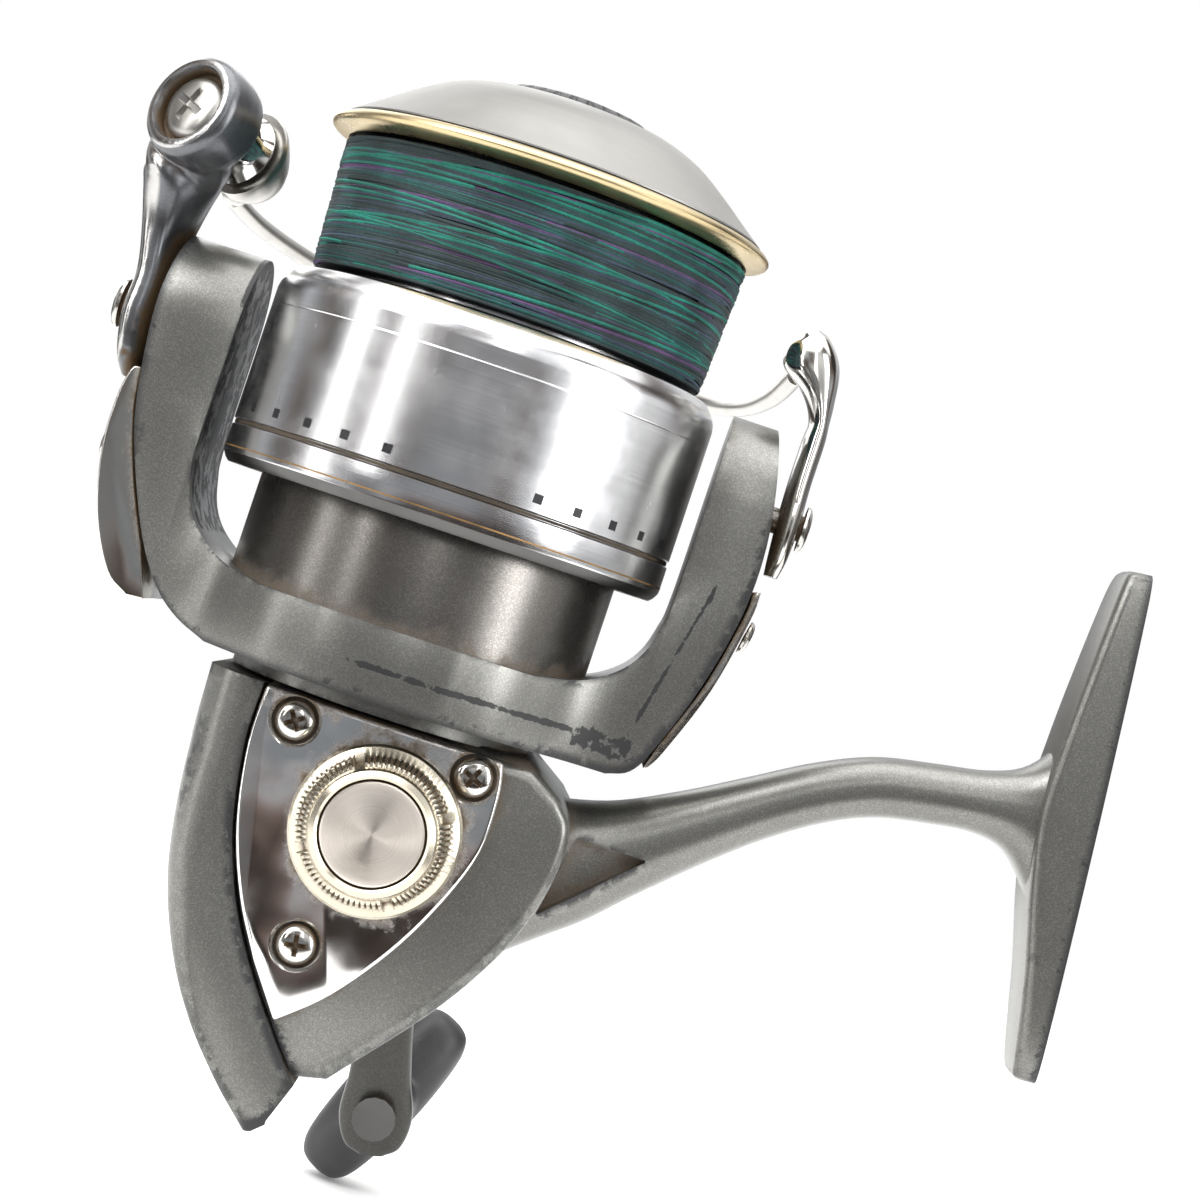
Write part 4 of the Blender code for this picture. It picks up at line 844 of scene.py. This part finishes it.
def build_bail():
    out, side = RIGHT, FAR
    across = -ROLLER_AXIS.cross(Vector((0, 0, 1))).normalized()
    stations = [((-39.6, 0, 38.9), side, 3.2, out, 0.8), ((-40, 0, 41.4), side, 6.2, out, 1.5),
                ((-40.5, 0, 46), side, 7, out, 1.9), ((-40.6, -0.3, 51.5), side, 5.8, out, 1.8),
                ((-40.7, -1.4, 56.5), (0.25, 1, 0), 4.6, (1, -0.25, 0), 2.2),
                ((-40.6, -3.4, 61), (0.6, 0.8, 0), 4.3, (0.8, -0.6, 0), 3),
                ((-40.2, -5.4, 65.2), across, 5.2, ROLLER_AXIS, 3.5),
                ((-39.9, -6.5, 69), across, 5.9, ROLLER_AXIS, 3.5)]
    arm = loft("bail_arm_detail", stations, 48, 44, 3.2)
    head = [(0, 3.5), (5.3, 3.5), (5.9, 3.1), (6.25, 2.4), (6.4, 1), (6.4, 0), (6.3, -1.6), (6, -2.9),
            (5, -3.5), (0, -3.5)]
    join(arm, lathe("head_form", head, ROLLER_HEAD, ROLLER_AXIS))
    melt(arm, 0.26, 3)
    cut(arm, rod("roller_form", 5, -7, 4.8, ROLLER_CENTRE, ROLLER_AXIS),
        lathe("seat_form", [(0, 6), (5.1, 6), (4.9, 3.7), (4.6, 3.2), (4.6, 1.5), (0, 1.5)],
              ROLLER_HEAD, ROLLER_AXIS),
        rod("screw_form", 1.9, -8, 5, ROLLER_HEAD, ROLLER_AXIS, 32),
        rod("pivot_form", 1.9, -50, -30, PIVOT, out, 32))
    dress(arm, bail_paint, "bail", "bail_arm")
    build_screw("roller_screw", ROLLER_HEAD + ROLLER_AXIS * 1.7, ROLLER_AXIS, 3.9, 1.5, 1.5, 11,
                "bail", pearl, 35)
    build_screw("bail_screw_left", (-43.1, 0, BAIL_PIVOT_Z), LEFT, 2.9, 1, 1.5, 7.5)

    # The lever's sections: x, z, half width, lean and half thickness
    shape = [(38.2, 40.6, 2.6, 0, 0.8), (38.3, 43, 5.2, 0, 1.1), (38.2, 47, 6.2, 0, 1.3),
             (38, 52, 5.6, 0, 1.3), (38, 57, 4.6, 0, 1.3), (37.9, 59.4, 4.2, 0, 1.2), (37, 62, 3.9, 0, 1.9),
             (35.1, 65.2, 3.8, 0.3, 3.2), (33.9, 67.6, 3, 0.5, 2.6), (33.6, 68.9, 1.6, 0.6, 1.3)]
    stations = [((x, 0, z), side, width, (1, 0, lean), thick) for x, z, width, lean, thick in shape]
    lever = loft("lever_detail", stations, 56, 36, 2.3)
    cut(lever, rod("lever_form", 1.9, 30, 50, PIVOT, out, 32))
    dress(lever, grimy_chrome, "bail", "bail_lever")
    build_screw("bail_screw_right", (39.9, 0, BAIL_PIVOT_Z), out, 2.7, 0.9, 1.5, 6.5)

    route = [(-36.3, 8.2, 63.3), (-33.7, 18, 62.1), (-28.9, 30.5, 61.2), (-23.6, 39.4, 60.8),
             (-13, 45.9, 60.8), (0, 48, 61), (13, 45.9, 60.8), (24, 39.6, 60.4), (29.4, 30.5, 60.6),
             (32.4, 17, 61.9), (33.9, 4.6, 64.2)]
    path = spline(route, 140)
    dress(tube("bail_wire_detail", [path], 1.1, 6), pearl, "bail", "bail_wire")
    spots = [[path[k] + Vector(end) for end in ((-0.25, -0.85, 0.75), (-0.15, -0.55, 0.8))]
             for k in (9, 11, 13)]
    dress(tube("wire_marks", spots, 0.14, 3), dark_mark, "bail")

    base = ROLLER_CENTRE - ROLLER_AXIS * 1.5
    bend = [(base, 5.3), (base - ROLLER_AXIS * 1.3 + Vector((-0.1, 0.2, -0.1)), 5.2),
            (Vector((-35.4, 3.9, 66.2)), 4.2), (Vector((-35.9, 6.4, 64.6)), 2.3),
            (Vector((-36.2, 7.6, 63.7)), 1.6)]
    stations = []
    for k, (centre, radius) in enumerate(bend):
        toward = -ROLLER_AXIS if k < 2 else (centre - bend[k - 1][0]).normalized()
        width = toward.cross(Vector((0, 0, 1))).normalized()
        stations.append((centre, width, radius, toward.cross(width), radius))
    dress(loft("collar_detail", stations, 26, 40, 2), pearl, "bail", "wire_collar")
    roller = [(3.1, 2.9), (4.2, 2.9), (4.45, 2.7), (4.5, 2.4), (4.1, 1.6), (3.75, 0.9), (3.6, 0.1),
              (3.6, -0.6), (3.85, -1.4), (4.4, -2.4), (4.3, -2.7), (4.1, -2.8), (3.1, -2.8)]
    roller = lathe("roller_detail", roller, ROLLER_CENTRE + ROLLER_AXIS * 1.7, ROLLER_AXIS)
    dress(roller, bright, "line_roller", "line_roller")


# --- spool, line and drag knob --------------------------------------------------------------------------

def build_spool():
    casting = [(23.6, 75), (23.6, 73.6), (19, 73.2), (18.6, 57.6), (23.8, 57.3), (24.9, 57), (25.5, 56.4),
               (26.1, 55.6), (26.35, 55), (SKIRT_R, 54.2), (SKIRT_R, 53.8), (SKIRT_R, 52.1), (26.46, 52),
               (SKIRT_R, 51.9), (SKIRT_R, 38.5), (26.35, 38.4), (26.15, 38.3), (26.15, 37.9), (26.35, 37.8),
               (SKIRT_R, 37.7), (SKIRT_R, 34.8), (26.42, 34.5), (26, 33.9), (25.6, 33.5), (24.9, 33.5),
               (24.7, 35), (24.7, 54.4), (17.2, 54.8), (16.8, 66.2), (5, 66.2), (5, 48.2), (2.2, 48.2),
               (2.2, 68), (11.6, 68), (11.6, 75)]
    dress(lathe("spool_detail", casting, steps=192), skirt, "spool", "spool", angle=20)
    groove = [(26.3, 38.27), (26.3, 37.93), (26, 37.93), (26, 38.27)]
    line = [(26.52, 35.3), (26.52, 35.12), (26.2, 35.12), (26.2, 35.3)]
    # The blackened ring laid over the skirt's lower chamfer is a painted dark reflection.
    edge = [(26.47, 34.55), (26.05, 33.85), (25.62, 33.44), (25.6, 33.7), (26.2, 34.6)]
    for name, profile, finish in (("groove_line", groove, soot), ("rust_line", line, rust),
                                  ("skirt_edge_dark_reflection", edge, blackened)):
        dress(lathe(name, profile, steps=192), finish, "spool")

    bm = bmesh.new()
    spread = 0.55 / SKIRT_R
    for degrees in MARK_ANGLES:
        for half_turn in (0, 180):
            middle = radians(degrees + half_turn - 90)
            corners = [(middle + way * spread, h)
                       for way, h in ((-1, 39.45), (1, 39.45), (1, 40.5), (-1, 40.5))]
            skin(bm, [[(reach * cos(angle), reach * sin(angle), h) for angle, h in corners]
                      for reach in (SKIRT_R - 0.05, SKIRT_R + 0.025)])
    dress(from_bmesh("skirt_marks", bm), dark_mark, "spool")

    lip = [(24.6, 75.6), (25.6, 75.45), (26.2, 75.15), (26.52, 74.85), (26.6, 74.6), (26.5, 74.3),
           (26.2, 74.05), (25.4, 73.75), (24.3, 73.3), (23.9, 73.4), (23.9, 75.4)]
    dress(lathe("lip_detail", lip, steps=192), gold, "spool", "spool_lip_ring")
    crown = run([(10.4, 84), (12.5, 83.8), (16, 82.4), (19.5, 80.1), (22.7, 77.7), (25.2, 75.85)], 4)
    cap = crown + [(25.2, 75.65), (24.3, 75.7), (21.8, 76.7), (18.8, 78.9), (15.5, 81.1), (12.8, 82.2),
                   (12.8, 75.4), (11.9, 75.4), (11.9, 82.6), (10.4, 83)]
    dress(lathe("front_cap_detail", cap, steps=160), satin, "spool", "spool_front_cap")


def barrel(height):
    """The line's outer radius at a height."""
    knots = [(58, 23.6), (60, 23.8), (65, 24), (70, 24.3), (72.9, 24.4)]
    for (low, inner), (high, outer) in zip(knots, knots[1:]):
        if height <= high:
            return inner + (outer - inner) * (height - low) / (high - low)
    return knots[-1][1]


def build_line():
    rng = random.Random(71)
    strand_r, low, high = 0.2, 58.25, 72.65
    core = [(19.3, 72.8)] + [(barrel(h) - 0.6, h) for h in (72.8, 70, 65, 60, 58.1)] + [(19, 58.1)]
    # The core under the strands is nearly black: painted shade for the gaps between strands.
    under = braid("braid_gap_shade", (0.003, 0.006, 0.007))
    dress(lathe("line_core", core), under, "spool", "line_winding")
    paths = {name: [] for name in BRAIDS}

    def lay(colour, start, height, sweep, rise, lift):
        """A strand from an angle and height: it turns by sweep while it climbs by rise."""
        points = max(8, int(abs(sweep) / 360 * 110))
        phase, lean = rng.uniform(0, 6.28), rng.uniform(-0.1, 0.1)
        path = []
        for k in range(points + 1):
            turn = radians(start + sweep * k / points)
            z = height + rise * k / points + lean * sin(turn + phase) + 0.03 * sin(5 * turn + phase)
            z = max(low, min(high, z))
            reach = barrel(z) - strand_r + lift
            path.append((reach * cos(turn), reach * sin(turn), z))
        paths[colour].append(path)

    count = 34
    runs = ["deep", "teal", "deep", "blue", "deep", "blue", "deep", "purple", "deep", "deep"]
    for k in range(count):
        height = low + (high - low) * (k + 0.5) / count
        lay(rng.choice(runs), rng.uniform(0, 360), height, 372, rng.choice((-1, 1)) * 0.33, -0.17)
    for k in range(170):
        colour = rng.choices(list(BRAIDS), (15, 4, 2, 5, 3))[0]
        start, height = rng.uniform(0, 360), rng.uniform(low, high)
        lay(colour, start, height, rng.uniform(90, 300), rng.uniform(-2.2, 2.2), rng.uniform(-0.1, -0.02))
    for k in range(16):
        start, height = rng.uniform(0, 360), rng.uniform(low + 1, high - 1)
        lay(rng.choice(("green", "green", "teal")), start, height, rng.uniform(150, 300),
            rng.choice((-1, 1)) * rng.uniform(2, 5), 0)
    for name, laid in paths.items():
        dress(tube("line_" + name, laid, strand_r, 1), BRAIDS[name], "spool")


def build_drag_knob():
    ribs = 28
    profile = [(0, 85.3), (2.4, 85.35), (2.8, 85.5), (5.9, 85.5), (6.4, 85.3), (8.2, 85.05), (9, 84.6),
               (9.6, 84.1), (9.8, 83.4), (9.8, 79), (9.6, 78.4), (6.6, 78.4), (6.6, 84.2), (0, 84.2)]

    def rib(row, turn, radius):
        return radius - (0.55 if 5 < row < 11 and (turn * ribs) % 1 > 0.5 else 0)

    knob = lathe("drag_knob_detail", profile, steps=ribs * 6, shape=rib)
    dress(knob, rubber, "drag_knob", "drag_knob")


# --- crank ----------------------------------------------------------------------------------------------

def build_crank():
    collar = [(4.2, 29), (4.8, 28.8), (5.2, 28.4), (5.6, 26), (6.2, 20.5), (6.2, 19.4), (3.7, 19.4),
              (3.7, 22.8), (2.2, 22.8), (2.2, 29)]
    dress(lathe("collar_hub_detail", collar, HUB, FAR), steel, "handle", "handle_collar")
    down = Vector((sin(CRANK_ANGLE), 0, -cos(CRANK_ANGLE)))
    across = Vector((cos(CRANK_ANGLE), 0, sin(CRANK_ANGLE)))
    shape = [(-6.6, 31.6, 2.2, 1.8), (-5, 31.7, 4.8, 2.3), (0, 31.8, 6, 2.4), (7, 33.4, 5.2, 2.3),
             (18, 40, 4.2, 2.1), (30, 47.4, 3.8, 2), (39, 52.4, 4.2, 2), (45, 54, 5, 2), (49, 54.2, 3.9, 1.9),
             (50.4, 54.2, 1.8, 1.4)]
    stations = [(HUB + down * reach + Vector((0, y, 0)), across, width, FAR, thick)
                for reach, y, width, thick in shape]
    arm = loft("crank_detail", stations, 64, 36, 3)
    cut(arm, rod("spindle_form", 2, 45, 60, KNOB_AXIS, FAR, 32))
    dress(arm, handle_paint, "handle", "handle_arm")

    lean = radians(25)
    bar = Vector((sin(lean), 0, cos(lean)))
    thick = Vector((cos(lean), 0, -sin(lean)))
    centre = KNOB_AXIS + Vector((0, 70, 0))
    shape = [(-14.2, 1.6, 1.4), (-13.4, 3.2, 3), (-11, 4.4, 4.2), (-6, 5.1, 5.2), (0, 5.4, 5.6),
             (6, 5.1, 5.2), (11, 4.4, 4.2), (13.4, 3.2, 3), (14.2, 1.6, 1.4)]
    knob = loft("knob_detail", [(centre + bar * s, thick, w, FAR, d) for s, w, d in shape], 56, 40, 2.4)
    neck = [(0, 68), (5, 68), (4.6, 64), (4, 60), (3.9, 57.2), (4.4, 56.6), (0, 56.6)]
    join(knob, lathe("neck_form", neck, KNOB_AXIS, FAR))
    melt(knob, 0.4, 5)
    cut(knob, rod("knob_bore_form", 1.9, 50, 90, KNOB_AXIS, FAR, 32),
        rod("knob_cap_form", 3.3, 72.6, 90, KNOB_AXIS, FAR))
    dress(knob, rubber, "handle_knob", "handle_knob")
    end = [(0, 75.2), (2.5, 75.15), (2.9, 74.9), (3, 74.5), (3, 72.9), (0, 72.9)]
    dress(lathe("knob_end_detail", end, KNOB_AXIS, FAR), bright, "handle_knob", "knob_end_cap")


build_housing()
build_side_cap()
for number, (x, z) in enumerate(SIDE_SCREWS, 1):
    build_screw(f"side_screw_{number}", (x, -16.5, z), NEAR, 2.3, 1.3, 1.1, 3.2, "body", turn=33 * number)
build_rotor()
build_bail()
build_spool()
build_line()
build_drag_knob()
build_crank()


# --- stage, light and camera ----------------------------------------------------------------------------

# Tall strip lights round the front: (degrees from -Y towards +X, lowest, highest, width, radiance)
STRIPS = [(-66, -100, 500, 80, 5), (-40, 0, 500, 45, 7), (6, 160, 620, 60, 6), (60, -60, 500, 120, 4.5)]
STRIP_REACH = 620
# Metres between the reel's lowest point and the floor
FLOOR_GAP = 0.0005
# The room as the plating sees it: (place in the noise, colour)
ROOM_TONES = [(0.36, (0.045, 0.038, 0.033)), (0.43, (0.2, 0.155, 0.13)), (0.5, (0.34, 0.35, 0.37)),
              (0.58, (0.75, 0.77, 0.8)), (0.66, (1, 1, 1))]
# What lies low before the reel, by its height from -0.25 to 0.25
FRONT_TONES = [(0.02, (0.06, 0.045, 0.04)), (0.17, (0.26, 0.19, 0.165)), (0.21, (0.42, 0.32, 0.29)),
               (0.25, (0.8, 0.8, 0.82)), (0.3, (0.36, 0.39, 0.43)), (0.42, (0.5, 0.53, 0.56)),
               (0.6, (0.3, 0.3, 0.31)), (0.95, (0.9, 0.9, 0.9))]


def build_stage():
    corners = [(-0.5, -0.15, 0), (0.36, -0.15, 0), (0.36, 0.65, 0), (-0.5, 0.65, 0)]
    mesh = bpy.data.meshes.new("floor")
    mesh.from_pydata(corners, [], [(0, 1, 2, 3)])
    floor = linked("floor", mesh)
    floor.location.z = CAD_BOX[0].z - FLOOR_GAP
    pale = Finish("pale_floor", "", (0.92, 0.92, 0.915), 1, 0, Specular_IOR_Level=0)
    cloud = pale.node("TexNoise", {"Scale": 4})[0]
    pale.give("Roughness", pale.node("MapRange", {"Value": cloud, "To Min": 0.88, "To Max": 1})[0])
    mesh.materials.append(pale.made)


def add_light(name, at, size, power, toward=(0, 0, 30)):
    lamp = bpy.data.lights.new(name, "AREA")
    lamp.shape = "RECTANGLE"
    lamp.size, lamp.size_y = size
    lamp.energy = power
    thing = linked(name, lamp)
    thing.location = placed(at)
    aim = placed(toward) - placed(at)
    thing.rotation_euler = aim.to_track_quat("-Z", "Y").to_euler()


def add_sun():
    """A very wide, weak sun keeps the pale floor even out to its edge."""
    lamp = bpy.data.lights.new("sky_panel", "SUN")
    lamp.energy = 2.6
    lamp.angle = radians(75)
    linked("sky_panel", lamp).rotation_euler = (radians(12), radians(-14), 0)


def ramp(tree, value, tones):
    """The colour for a value, from (place, colour) stops."""
    made = tree.nodes.new("ShaderNodeValToRGB")
    for number, (place, tone) in enumerate(tones):
        stops = made.color_ramp.elements
        stop = stops.new(place) if number > 1 else stops[number]
        stop.position = place
        stop.color = shade(tone)
    tree.links.new(value, made.inputs[0])
    return made.outputs[0]


def build_world():
    world = bpy.data.worlds.new("studio")
    bpy.context.scene.world = world
    world.use_nodes = True
    tree = world.node_tree
    back = tree.nodes["Background"]
    place = wire(tree, "TexCoord")["Generated"]
    cloud = wire(tree, "TexNoise", {"Vector": place, "Scale": 1.6, "Detail": 1})[0]
    split = wire(tree, "SeparateXYZ", {0: place})
    ahead = wire(tree, "MapRange", {"Value": split[1], "From Min": -0.9, "From Max": -0.97})[0]
    height = wire(tree, "MapRange", {"Value": split[2], "From Min": -0.25, "From Max": 0.25})[0]
    inputs = {0: ahead, 6: ramp(tree, cloud, ROOM_TONES), 7: ramp(tree, height, FRONT_TONES)}
    room = wire(tree, "Mix", inputs, data_type="RGBA")[2]
    inputs = {"Value": split[2], "From Min": -0.2, "From Max": 0.7, "To Min": 0.55, "To Max": 1.1}
    sky = wire(tree, "MapRange", inputs)[0]
    seen = wire(tree, "LightPath")["Is Camera Ray"]
    put(tree, back.inputs["Strength"], wire(tree, "Mix", {0: seen, 2: sky, 3: 1})[0])
    inputs = {0: seen, 6: room, 7: (1, 1, 1, 1)}
    put(tree, back.inputs["Color"], wire(tree, "Mix", inputs, data_type="RGBA")[2])


def build_camera():
    roll = radians(18.5)
    right = Vector((cos(roll), 0, sin(roll)))
    up = Vector((-sin(roll), 0, cos(roll)))
    camera = bpy.data.cameras.new("camera")
    camera.sensor_width = 36
    camera.lens = 82.56
    thing = linked("camera", camera)
    turn = Matrix((right, up, Vector(NEAR))).transposed()
    thing.matrix_world = Matrix.Translation(placed((20.3, -320, 31.8))) @ turn.to_4x4()
    camera.clip_start = 0.01
    bpy.context.scene.camera = thing


build_stage()
build_world()
add_light("softbox_left", (-420, -330, 420), (0.35, 0.5), 2.6)
add_light("softbox_right", (420, -260, 260), (0.22, 0.5), 1.3)
add_light("overhead", (60, 60, 560), (0.6, 0.6), 2)
add_light("rim", (-200, 420, 260), (0.4, 0.4), 0.8)
for number, (degrees, low, high, width, radiance) in enumerate(STRIPS, 1):
    turn = radians(degrees)
    at = (STRIP_REACH * sin(turn), -STRIP_REACH * cos(turn), (low + high) / 2)
    size = (width * MM, (high - low) * MM)
    add_light(f"strip_{number}", at, size, radiance * pi * size[0] * size[1], (0, 0, at[2]))
add_sun()
build_camera()
bpy.context.scene.view_settings.view_transform = "Standard"
